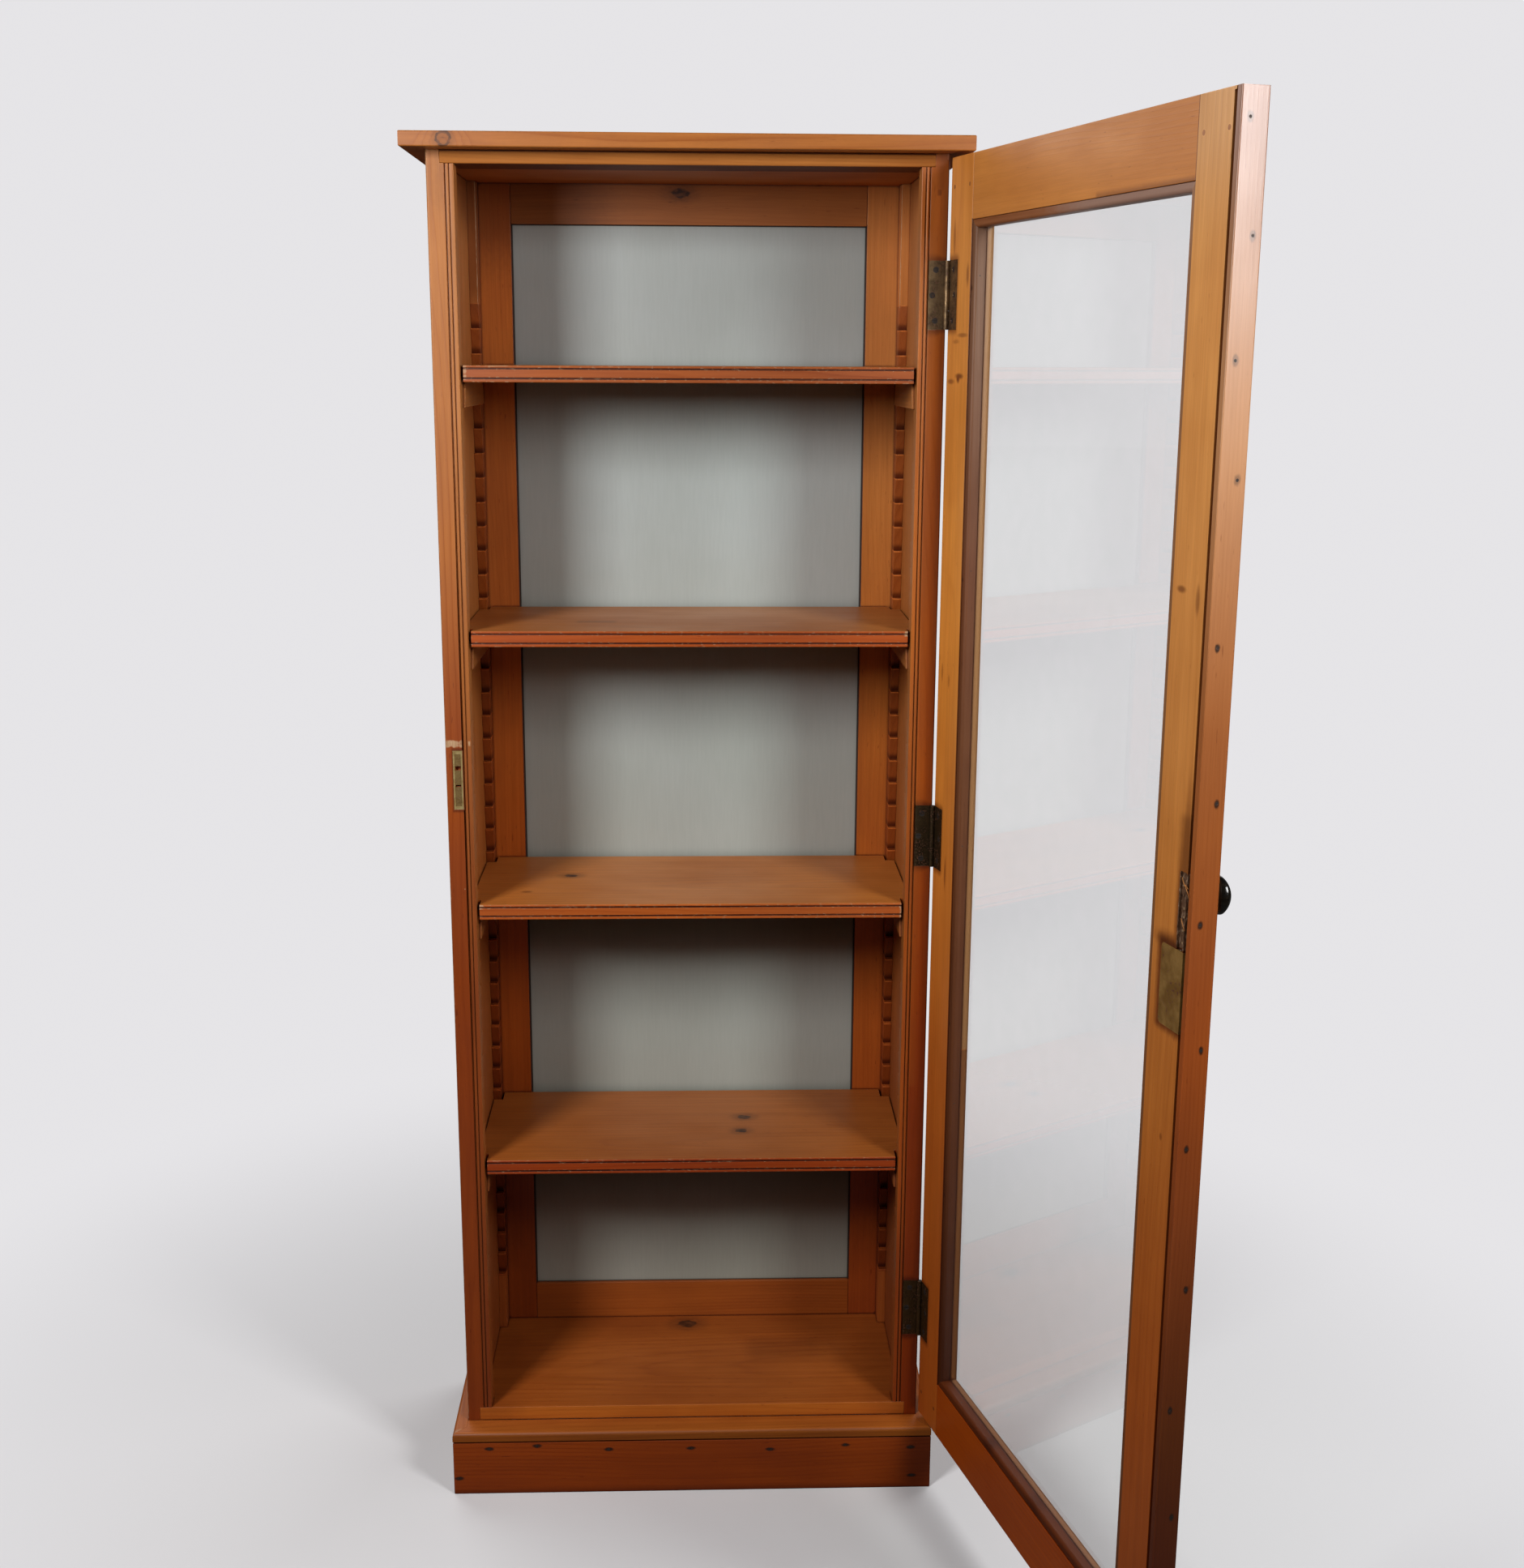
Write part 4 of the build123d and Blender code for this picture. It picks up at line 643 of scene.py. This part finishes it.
boards = {
    "top_board": dict(grain="x", seed=1, pith=(1.70, 0.10), spacing=0.005, figure=0.75, gloss=0.40,
                      knots=((1.670, -0.031, -0.268, 0.0072, True),), tone=(1.07, 1.08, 0.95),
                      face=((0.0, (0.80, 0.68, 0.50)),)),
    "head_board": dict(grain="x", seed=2, pith=(1.60, 0.02), tone=(0.96, 0.93, 0.9), under=(0.95, 0.90, 0.85),
                       gloss=0.6, shine=0.15,
                       face=((0.0, (0.74, 0.70, 0.48)),),
                       # Painted shade on the front of the underside, and a dark joint with painted shadow under the
                       # top's overhang.
                       stains_and_shade=(((-0.2615, 0.0045, 1.6455), (0.2615, 0.060, 1.6475), 0.004, 0.85),
                               ((-0.29, -0.001, 1.6603), (0.29, 0.001, 1.662), 0.0012, 0.8))),
    "floor_board": dict(grain="x", seed=3, blotch=1.0, pith=(0.02, 0.10),
                        knots=((0.105, 0.203, -0.008, 0.0075, False),),
                        # The raised tone and front colour are partly painted light. The boxes make it darker along
                        # the back and at both sides.
                        tone=(1.40, 1.40, 1.10), face=((0.0, (1.28, 1.38, 1.05)),), worn=0.9, streaks=0.7,
                        stains_and_shade=(((-0.27, 0.20, 0.10), (0.27, 0.225, 0.11), 0.05, 0.22),
                                ((-0.27, 0.0, 0.10), (-0.262, 0.225, 0.11), 0.06, 0.3),
                                ((0.262, 0.0, 0.10), (0.27, 0.225, 0.11), 0.06, 0.3),
                                ((0.09, 0.12, 0.10), (0.16, 0.15, 0.11), 0.03, 0.3))),
    "left_side": dict(grain="z", seed=4, pith=(-0.33, 0.12), tone=(1.15, 1.15, 1.2), worn=1.0, grime_and_shade=0.2,
                      face=((0.24, (0.63, 0.40, 0.18)), (0.69, (0.52, 0.28, 0.11)), (1.0, (0.60, 0.35, 0.14)),
                            (1.19, (0.74, 0.64, 0.56)), (1.54, (0.79, 0.75, 0.52))),
                      scuffs_and_highlights=(((-0.290, -0.001, 0.985), (-0.273, 0.001, 0.990), 0.0022, 0.75),
                              ((-0.2748, -0.001, 0.8070), (-0.2741, 0.001, 0.8077), 0.0006, 0.9),
                              # A painted highlight along the outer front arris.
                              ((-0.2926, -0.001, 0.09), (-0.2921, 0.0010, 1.66), 0.0006, 0.5)),
                      stains_and_shade=(((-0.284, -0.001, 0.905), (-0.272, 0.002, 0.981), 0.003, 0.6),
                              # Painted shade in the upper corner of the inner face.
                              ((-0.2725, 0.03, 1.62), (-0.2715, 0.23, 1.65), 0.06, 0.5))),
    "right_side": dict(grain="z", seed=5, pith=(0.34, 0.12), tone=(0.86, 0.8, 0.75), figure=0.3,
                       # The hinge stains are dirt. The strip along the outer front edge is painted shade on the
                       # rounded arris, and the box at the top is painted shadow under the top's overhang.
                       stains_and_shade=(*side_hinge_stains, ((0.2900, -0.002, 0.10), (0.294, 0.01, 1.66), 0.009, 0.42),
                               ((0.284, -0.002, 1.625), (0.290, 0.002, 1.66), 0.010, 0.4),
                               ((0.281, -0.002, 1.618), (0.283, 0.002, 1.622), 0.003, 0.6)),
                       grime_and_shade=0.2,
                       paint=(((0.2735, -0.001, 0.55), (0.2765, 0.001, 1.64), 0.007, 0.16, (0.42, 0.12, 0.012)),),
                       face=((0.34, (0.92, 0.50, 0.07)), (0.64, (0.95, 0.50, 0.12)), (0.95, (1.14, 0.75, 0.32)),
                             (1.25, (0.87, 0.57, 0.18)), (1.57, (0.80, 0.57, 0.22)))),
    "plinth_front": dict(grain="x", seed=6, pith=(0.12, 0.01), tone=(1.0, 0.95, 0.9), figure=0.55,
                         face=((0.0, (1.03, 0.69, 0.22)),), spots=plinth_spots,
                         stains_and_shade=(((-0.31, -0.04, -0.01), (0.31, 0.0, 0.001), 0.010, 0.5),
                                 ((0.290, -0.04, 0.0), (0.31, 0.0, 0.073), 0.030, 0.5),)),
    "plinth_right": dict(grain="y", seed=7, pith=(0.11, 0.33)),
    "plinth_left": dict(grain="y", seed=8, pith=(0.11, -0.33)),
    "plinth_packer": dict(grain="x", seed=9, pith=(0.2, 0.05), tone=(0.8, 0.8, 0.8)),
    "plinth_moulding_front": dict(grain="x", seed=10, pith=(0.13, 0.01), tone=(1.45, 1.55, 1.1), worn=1.0,
                                  face=((0.0, (0.66, 0.62, 0.40)),), stains_and_shade=moulding_quirk_shade),
    "plinth_moulding_right": dict(grain="y", seed=11, pith=(0.13, 0.33), tone=(1.3, 1.35, 1.0), worn=0.9,
                                  stains_and_shade=moulding_quirk_shade),
    "plinth_moulding_left": dict(grain="y", seed=12, pith=(0.13, -0.33), tone=(1.3, 1.35, 1.0), worn=0.9,
                                 stains_and_shade=moulding_quirk_shade, scuffs_and_highlights=MITRE_WEAR),
    "front_rack_right": dict(grain="z", seed=13, pith=(0.3, 0.05), tone=(0.92, 0.88, 0.80), worn=0.8, grime_and_shade=0.2,
                             face=((0.0, (0.95, 0.62, 0.30)), (1.6, (1.0, 0.80, 0.50)))),
    "front_rack_left": dict(grain="z", seed=14, pith=(-0.3, 0.05), tone=(1.08, 1.1, 1.1), worn=0.8, grime_and_shade=0.2,
                            face=((0.24, (0.60, 0.42, 0.35)), (0.69, (0.58, 0.40, 0.32)),
                                  (1.19, (0.80, 0.74, 0.70)), (1.54, (0.82, 0.80, 0.72))),
                            scuffs_and_highlights=(((-0.2645, -0.001, 0.985), (-0.263, 0.001, 0.990), 0.0010, 0.7),)),
    "rear_rack_right": dict(grain="z", seed=15, pith=(0.3, 0.25), tone=(1.15, 1.08, 0.98), grime_and_shade=0.3, toothed=True,
                            # A painted highlight along the rack's front arris, high up.
                            scuffs_and_highlights=(((0.2612, 0.1998, 1.50), (0.2618, 0.2003, 1.645), 0.0007, 0.6),)),
    "rear_rack_left": dict(grain="z", seed=16, pith=(-0.3, 0.25), tone=(1.12, 1.0, 0.9), grime_and_shade=0.3, toothed=True,
                           # Darker near the top.
                           stains_and_shade=(((-0.272, 0.199, 1.53), (-0.261, 0.226, 1.65), 0.05, 0.6),),
                           # A painted highlight along the rack's front arris, high up.
                           scuffs_and_highlights=(((-0.2618, 0.1998, 1.50), (-0.2612, 0.2003, 1.645), 0.0007, 0.7),)),
    "back_stile_right": dict(grain="z", seed=17, pith=(0.30, 0.20), tone=(1.1, 1.02, 0.85), figure=0.15, worn=0.0,
                             # Painted shadow: a thin dark line along the edge of the opening.
                             stains_and_shade=(((0.2205, 0.220, 0.16), (0.2217, 0.245, 1.60), 0.0007, 1.0),),
                             tone_and_shade_by_height=((0.3, (1.05, 0.8, 0.65)), (0.9, (1.08, 0.98, 0.8)), (1.3, (1.05, 1.12, 1.25)))),
    "back_stile_left": dict(grain="z", seed=18, pith=(-0.30, 0.20), tone=(1.12, 0.88, 0.62), figure=0.2, worn=0.0,
                            # Painted shadow: a thin dark line along the edge of the opening. The second box darkens
                            # the top left corner.
                            stains_and_shade=(((-0.2217, 0.220, 0.16), (-0.2205, 0.245, 1.60), 0.0007, 1.0),
                                    ((-0.28, 0.220, 1.600), (-0.20, 0.245, 1.66), 0.11, 0.7)),
                            tone_and_shade_by_height=((0.3, (0.85, 0.75, 0.6)), (0.7, (1.1, 0.95, 0.8)), (1.2, (0.95, 0.9, 1.0)),
                                  (1.5, (1.15, 1.1, 1.0)))),
    "back_bottom_rail": dict(grain="x", seed=19, pith=(0.08, 0.20), tone=(1.2, 1.1, 0.8), ends=STILE_ENDS),
    "back_top_rail": dict(grain="x", seed=20, pith=(1.56, 0.20), knots=((1.6365, 0.225, -0.0109, 0.0062, False),),
                          tone=(0.70, 0.60, 0.50), ends=STILE_ENDS,
                          # Darker towards the top left corner.
                          stains_and_shade=(((-0.222, 0.22, 1.60), (-0.16, 0.23, 1.66), 0.12, 0.46),)),
    "shelf_1": dict(grain="x", seed=21, pith=(1.40, 0.06), tone=(0.98, 0.95, 0.9), figure=0.6,
                    face=((0.0, (0.70, 0.44, 0.30)),), worn=0.9, chips=0.8, under=SHELF_UNDERSIDE_SHADE,
                    stains_and_shade=shelf_quirk_shade(1.428),
                    scuffs_and_highlights=(((-0.2585, 0.0045, 1.412), (-0.2560, 0.0052, 1.427), 0.0016, 0.5),
                            ((-0.23, 0.0045, 1.4270), (-0.21, 0.0052, 1.4278), 0.0008, 0.5))),
    "shelf_2": dict(grain="x", seed=22, pith=(1.08, 0.06), tone=(1.05, 1.08, 1.2),
                    face=((0.0, (0.82, 0.41, 0.18)),), worn=0.9, chips=0.7, under=SHELF_UNDERSIDE_SHADE,
                    stains_and_shade=(((-0.135, 0.08, 1.118), (-0.095, 0.092, 1.124), 0.009, 0.35), *shelf_quirk_shade(1.122)),
                    scuffs_and_highlights=(((0.2560, 0.0045, 1.1165), (0.2585, 0.0052, 1.121), 0.0018, 0.7),)),
    "shelf_3": dict(grain="x", seed=23, pith=(0.74, 0.08), tone=(1.32, 1.42, 1.4),
                    face=((0.0, (0.82, 0.52, 0.38)),), worn=0.9, chips=0.8, under=SHELF_UNDERSIDE_SHADE,
                    knots=((0.7854, 0.1318, -0.1546, 0.0050, False),), stains_and_shade=shelf_quirk_shade(0.7854),
                    marks=(((0.7854, 0.0607, -0.2057), (0.01, 0.003, 0.005), 0.6),),
                    scuffs_and_highlights=(((-0.2585, 0.0045, 0.7800), (-0.2540, 0.0052, 0.785), 0.0016, 0.7),
                            ((0.2570, 0.0045, 0.7660), (0.2585, 0.0052, 0.785), 0.0012, 0.6))),
    "shelf_4": dict(grain="x", seed=24, pith=(0.40, 0.06), tone=(1.12, 1.18, 1.15),
                    face=((0.0, (0.80, 0.37, 0.14)),), worn=0.9, chips=0.7, under=SHELF_UNDERSIDE_SHADE,
                    stains_and_shade=shelf_quirk_shade(0.4488),
                    knots=((0.4488, 0.133, 0.0697, 0.0050, False), (0.4488, 0.0894, 0.0645, 0.0046, False))),
    "door_hinge_stile": dict(grain="z", seed=25, door=True, pith=(-0.03, 0.08), tone=(1.02, 1.02, 0.95),
                             tone_and_shade_by_height=((0.15, (1.50, 1.30, 0.80)), (0.6, (1.42, 1.28, 0.95)), (0.95, (1.62, 1.70, 1.35)),
                                   (1.25, (1.60, 1.72, 1.35)), (1.6, (1.34, 1.36, 1.08))),
                             stains_and_shade=(*stile_hinge_stains,
                                     (*door_box((58.7, 59.4), (0, 1.2), (165, 1588)), 0.0004, 0.9)),
                             figure=0.25, marks=stile_marks,
                             # Painted shade on the rebate seen through the glass, darker below 620 mm.
                             paint=((*closed_box((59.5, 80), (15, 26), (620, 1586.5)), 0.0004, 0.9,
                                     (0.34, 0.18, 0.075)),
                                    (*closed_box((59.5, 80), (15, 26), (166.5, 619)), 0.0004, 0.9,
                                     (0.19, 0.080, 0.030)))),
    "door_lock_stile": dict(grain="z", seed=26, door=True, pith=(-0.60, 0.08), tone=(1.05, 1.08, 1.15), figure=0.22,
                            marks=lock_marks,
                            tone_and_shade_by_height=((0.40, (1.15, 0.88, 0.5)), (0.75, (1.24, 1.22, 1.0)), (1.1, (1.24, 1.32, 1.33)),
                                  (1.5, (1.26, 1.42, 1.45)), (1.62, (1.10, 1.30, 1.35))),
                            stains_and_shade=lock_stains, torn=torn_recess,
                            scuffs_and_highlights=tuple((*door_box((570.5, 571.5), (2, 3), (z - 0.4, z + 0.4)), 0.0013, 0.8)
                                         for z in (975, 949, 941, 928, 916))),
    "door_top_rail": dict(grain="x", seed=27, door=True, pith=(1.72, 0.05), tone=(1.11, 1.09, 0.84),
                          streaks=0.3, figure=0.2, ends=RAIL_ENDS,
                          # Painted shadow along the rail's lower edge, by the top bead.
                          stains_and_shade=((*door_box((350, 523), (0, 12), (1584, 1588)), 0.006, 0.5),)),
    "door_bottom_rail": dict(grain="x", seed=28, door=True, pith=(0.06, 0.05), tone=(1.38, 0.88, 0.15),
                             # Painted shade on the rebate seen through the glass.
                             paint=((*closed_box((59.5, 523), (15, 26), (166.5, 190)), 0.0004, 0.9,
                                     (0.24, 0.115, 0.050)),),
                             ends=RAIL_ENDS),
    "glazing_bead_hinge_side": dict(grain="z", seed=29, door=True, pith=(-0.06, 0.03), marks=bead_marks,
                                    tone=(0.35, 0.38, 0.68), figure=0.4, worn=0.4, grime_and_shade=0.45, gloss=0.52, shine=0.3,
                                    tone_and_shade_by_height=((0.22, (0.50, 0.40, 0.32)), (0.55, (0.85, 0.76, 0.66)),
                                          (0.95, (0.98, 0.88, 0.8)), (1.2, (0.92, 0.75, 0.7)),
                                          (1.5, (1.0, 1.08, 1.2)))),
    "glazing_bead_lock_side": dict(grain="z", seed=30, door=True, pith=(-0.55, 0.03),
                                   tone=(0.53, 0.66, 1.25), figure=0.4, worn=0.6, gloss=0.52, shine=0.3),
    "glazing_bead_bottom": dict(grain="x", seed=31, door=True, pith=(0.15, 0.03),
                                tone=(0.35, 0.27, 0.22), figure=0.4, worn=0.6, gloss=0.52, shine=0.3,
                                marks=(((0.155, -0.0056, -0.21), (0.02, 0.012, 0.010), 0.5),
                                       ((0.155, -0.0056, -0.33), (0.02, 0.012, 0.014), 0.4))),
    "glazing_bead_top": dict(grain="x", seed=32, door=True, pith=(1.60, 0.03),
                             # Its darker tone and the box below are painted shade on the bead, which faces down.
                             tone=(0.50, 0.46, 0.60), figure=0.4, worn=0.6, gloss=0.52, shine=0.3,
                             paint=((*closed_box((330, 523), (0, 15), (1560, 1590)), 0.12, 0.5,
                                     (0.32, 0.23, 0.19)),)),
    "closing_strip": dict(grain="z", seed=33, door=True, pith=(-0.58, 0.12), tone=(1.12, 1.2, 1.5), gloss=0.36,
                          shine=0.55, figure=0.25, streaks=0.25, spots=strip_spots,
                          # Painted light and shade: very dark low down, and paler and bluish about 1.4 m up as a
                          # painted sheen.
                          tone_and_shade_by_height=((0.12, (0.25, 0.105, 0.01)), (0.42, (0.31, 0.22, 0.11)), (0.64, (0.53, 0.36, 0.32)),
                                (0.82, (0.73, 0.46, 0.31)), (1.11, (0.64, 0.52, 0.48)), (1.37, (0.82, 0.96, 1.36)),
                                (1.5, (0.62, 0.70, 1.02)), (1.62, (0.41, 0.41, 0.63)))),
    "door_pegs": dict(grain="y", seed=34, door=True, tone=(0.7, 0.65, 0.6), figure=0.3),
}
for level in range(1, 5):
    for side, sign in (("left", -1), ("right", 1)):
        boards[f"bearer_{level}_{side}"] = dict(grain="y", seed=40 + level * 2 + sign, pith=(1.0, sign * 0.3),
                                                tone=(0.95, 0.92, 0.9), worn=1.0)

for node, recipe in boards.items():
    material = pine("pine_" + node, **recipe)
    dress(node, material)
    width = 0.0004 if node.startswith(FINE_FORMS) else 0.0007
    if node.startswith(PLAIN_FORMS):
        softened(node, material, width, 0.0, True)
    elif node.startswith(NAILED_FORMS):
        softened(node, material, width, 0.0035, True)
    elif node != "door_pegs":
        softened(node, material, width, 0.009, False)
dress("back_panel", painted_panel("back_paint"))
# The hinges' brass is brighter high up and darker low down: painted light and shade.
brass = old_metal("dull_brass", (0.060, 0.038, 0.018), (0.165, 0.105, 0.050), (0.110, 0.036, 0.014),
                  tone_and_shade_by_height=((0.24, (0.72, 0.60, 0.45)), (0.87, (0.50, 0.50, 0.46)), (1.5, (1.5, 1.5, 1.6))))
strike_brass = old_metal("strike_brass", (0.26, 0.175, 0.055), (0.42, 0.32, 0.14), (0.16, 0.09, 0.035), rough=0.5,
                         metal=0.55, scale=90.0, dished=0.0006)
lock_brass = old_metal("lock_brass", (0.21, 0.105, 0.021), (0.43, 0.250, 0.073), (0.10, 0.032, 0.012), rough=0.45,
                       metal=0.55, scale=36.0)
iron = old_metal("dark_iron", (0.022, 0.017, 0.015), (0.055, 0.045, 0.04), (0.10, 0.035, 0.014), rough=0.5,
                 metal=0.6, scale=120.0)
for material, dressed in (
        (brass, ("hinge_carcass_leaves", "hinge_door_leaves")),
        (strike_brass, ("strike_plate",)),
        (lock_brass, ("lock_plate", "lock_case", "lock_key_pin", "lock_bolt")),
        (iron, ("plinth_nails", "back_nails", "closing_strip_nails", "bead_pins", "carcass_hinge_screws",
                "door_hinge_screws", "hinge_pins")),
        (clear_glass("window_glass"), ("glass_pane",)),
        (ebonised("ebonised_wood"), ("knob",))):
    for node in dressed:
        dress(node, material)


# Splinters over the old recess

def splinter(name, course, thickness):
    """A torn fibre that tapers to both ends, drawn through points on the open door."""
    points = [on_door(*point) for point in course]
    form = bmesh.new()
    sections = []
    last = len(points) - 1
    for index, point in enumerate(points):
        ahead = (points[min(index + 1, last)] - points[max(index - 1, 0)]).normalized()
        aside = ahead.cross(Vector((0.0, 0.0, 1.0))).normalized()
        lift = aside.cross(ahead)
        reach = thickness * (0.25 + math.sin(math.pi * (index + 0.5) / len(points)))
        sections.append([form.verts.new(point + reach * (math.cos(turn) * aside + 0.6 * math.sin(turn) * lift))
                         for turn in (0.0, 1.257, 2.513, 3.770, 5.027)])
    for near, far in zip(sections, sections[1:]):
        for k in range(5):
            form.faces.new((near[k], near[(k + 1) % 5], far[(k + 1) % 5], far[k]))
    form.faces.new(sections[0][::-1])
    form.faces.new(sections[-1])
    bmesh.ops.recalc_face_normals(form, faces=form.faces)
    mesh = bpy.data.meshes.new(name)
    form.to_mesh(mesh)
    form.free()
    mesh.materials.append(torn_wood)
    piece = placed(name, mesh)
    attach(piece, "door")


torn_wood = pine("torn_wood", door=True, seed=60, tone=(1.5, 1.9, 3.0), worn=0.0, grime_and_shade=0.0, gloss=0.6, shine=0.2)
splinter("splinter_long", ((569, -0.1, 979), (571.5, -0.6, 976), (574.5, -0.9, 973.5), (577.5, -0.8, 971),
                           (580, -0.7, 968), (581.8, -0.4, 964.5), (582.5, -0.1, 961.5)), 0.00045)
splinter("splinter_short", ((572, 0.2, 972), (574.5, -0.5, 973.2), (577.5, -0.7, 973), (580.5, -0.4, 970.5)), 0.0004)
splinter("splinter_low", ((570, 0.5, 940), (573, -0.3, 938), (576, -0.4, 934), (578, 0.1, 930)), 0.0004)


# Camera at the photograph's place

CAMERA_PLACE = (0.00606, -2.11271, 1.43505)
CAMERA_YAW, CAMERA_PITCH, CAMERA_ROLL = 1.9102, 12.8464, 0.2706
CAMERA_LENS = 41.387
CAMERA_SHIFT = (0.00487, -0.00806)


def photo_camera():
    yaw, pitch, roll = math.radians(CAMERA_YAW), math.radians(CAMERA_PITCH), math.radians(CAMERA_ROLL)
    ahead = Vector((math.sin(yaw) * math.cos(pitch), math.cos(yaw) * math.cos(pitch), -math.sin(pitch)))
    level = Vector((math.cos(yaw), -math.sin(yaw), 0.0))
    upward = level.cross(ahead)
    right = level * math.cos(roll) + upward * math.sin(roll)
    up = upward * math.cos(roll) - level * math.sin(roll)
    data = bpy.data.cameras.new("camera")
    data.lens = CAMERA_LENS
    data.sensor_width = 36.0
    data.sensor_fit = "AUTO"
    data.shift_x, data.shift_y = CAMERA_SHIFT
    camera = placed("camera", data)
    camera.matrix_world = Matrix.Translation(CAMERA_PLACE) @ Matrix((right, up, -ahead)).transposed().to_4x4()
    bpy.context.scene.camera = camera


photo_camera()


# Lamps, world and floor

unmirrored = bpy.data.collections.new("lamps_not_mirrored")
unmirrored.objects.link(nodes["glass_pane"])
unmirrored.collection_objects[0].light_linking.link_state = "EXCLUDE"


def soft_lamp(name, place, aim, watts, size):
    """A rectangular lamp that the clear glass doesn't mirror as a white patch."""
    data = bpy.data.lights.new(name, "AREA")
    data.shape = "RECTANGLE"
    data.size, data.size_y = size
    data.energy = watts
    lamp = placed(name, data)
    lamp.location = place
    lamp.rotation_euler = (Vector(aim) - Vector(place)).to_track_quat("-Z", "Y").to_euler()
    lamp.visible_transmission = False
    lamp.light_linking.receiver_collection = unmirrored


soft_lamp("lamp_left", (-1.07, -1.42, 1.83), (0.0, 0.1, 1.05), 31.0, (0.45, 0.65))
soft_lamp("lamp_right", (1.20, -1.42, 1.83), (0.0, 0.1, 1.05), 23.0, (0.45, 0.65))
soft_lamp("lamp_behind_left", (-1.5, 2.2, 2.9), (0.0, 0.2, 0.8), 38.0, (2.2, 2.2))
soft_lamp("lamp_behind_right", (1.9, 2.0, 2.9), (0.2, 0.0, 0.8), 38.0, (2.2, 2.2))

BACKDROP = (0.79, 0.78, 0.80)


def seen_directly(tree):
    """1 for what the camera sees, also through glass, and 0 for what only lights the object."""
    rays = add(tree, "ShaderNodeLightPath").outputs
    return maths(tree, "MAXIMUM", rays["Is Camera Ray"], rays["Is Transmission Ray"])


def studio_world():
    world = bpy.data.worlds.new("studio")
    bpy.context.scene.world = world
    world.use_nodes = True
    tree = world.node_tree
    tree.nodes.clear()
    glossy_ray = add(tree, "ShaderNodeLightPath").outputs["Is Glossy Ray"]
    strength = maths(tree, "MULTIPLY_ADD", seen_directly(tree), 0.98, 0.02)
    strength = maths(tree, "MULTIPLY_ADD", glossy_ray, 0.02, strength)
    back = add(tree, "ShaderNodeBackground", {"Color": (*BACKDROP, 1.0), "Strength": strength})
    add(tree, "ShaderNodeOutputWorld", {"Surface": back.outputs[0]})


def studio_floor():
    """A pale floor that keeps the cabinet's shadow and turns into the backdrop further out."""
    mesh = bpy.data.meshes.new("floor")
    form = bmesh.new()
    bmesh.ops.create_circle(form, cap_ends=True, segments=96, radius=30.0)
    form.to_mesh(mesh)
    form.free()
    floor = placed("floor", mesh)
    material, tree = new_material("studio_floor")
    distance = vector_maths(tree, "LENGTH", add(tree, "ShaderNodeTexCoord").outputs["Object"])
    seen = seen_directly(tree)
    paint = mix_rgba(tree, seen, (0.10, 0.10, 0.10), (0.80, 0.79, 0.80))
    diffuse = add(tree, "ShaderNodeBsdfDiffuse", {"Color": paint})
    glow = add(tree, "ShaderNodeEmission", {"Color": (*BACKDROP, 1.0)})
    far = maths(tree, "MULTIPLY", ranged(tree, distance, 0.35, 1.5), seen)
    floor_shader = add(tree, "ShaderNodeMixShader", {0: far, 1: diffuse.outputs[0], 2: glow.outputs[0]})
    surface(tree, floor_shader.outputs[0])
    mesh.materials.append(material)


studio_world()
studio_floor()
bpy.context.scene.view_settings.view_transform = "Standard"
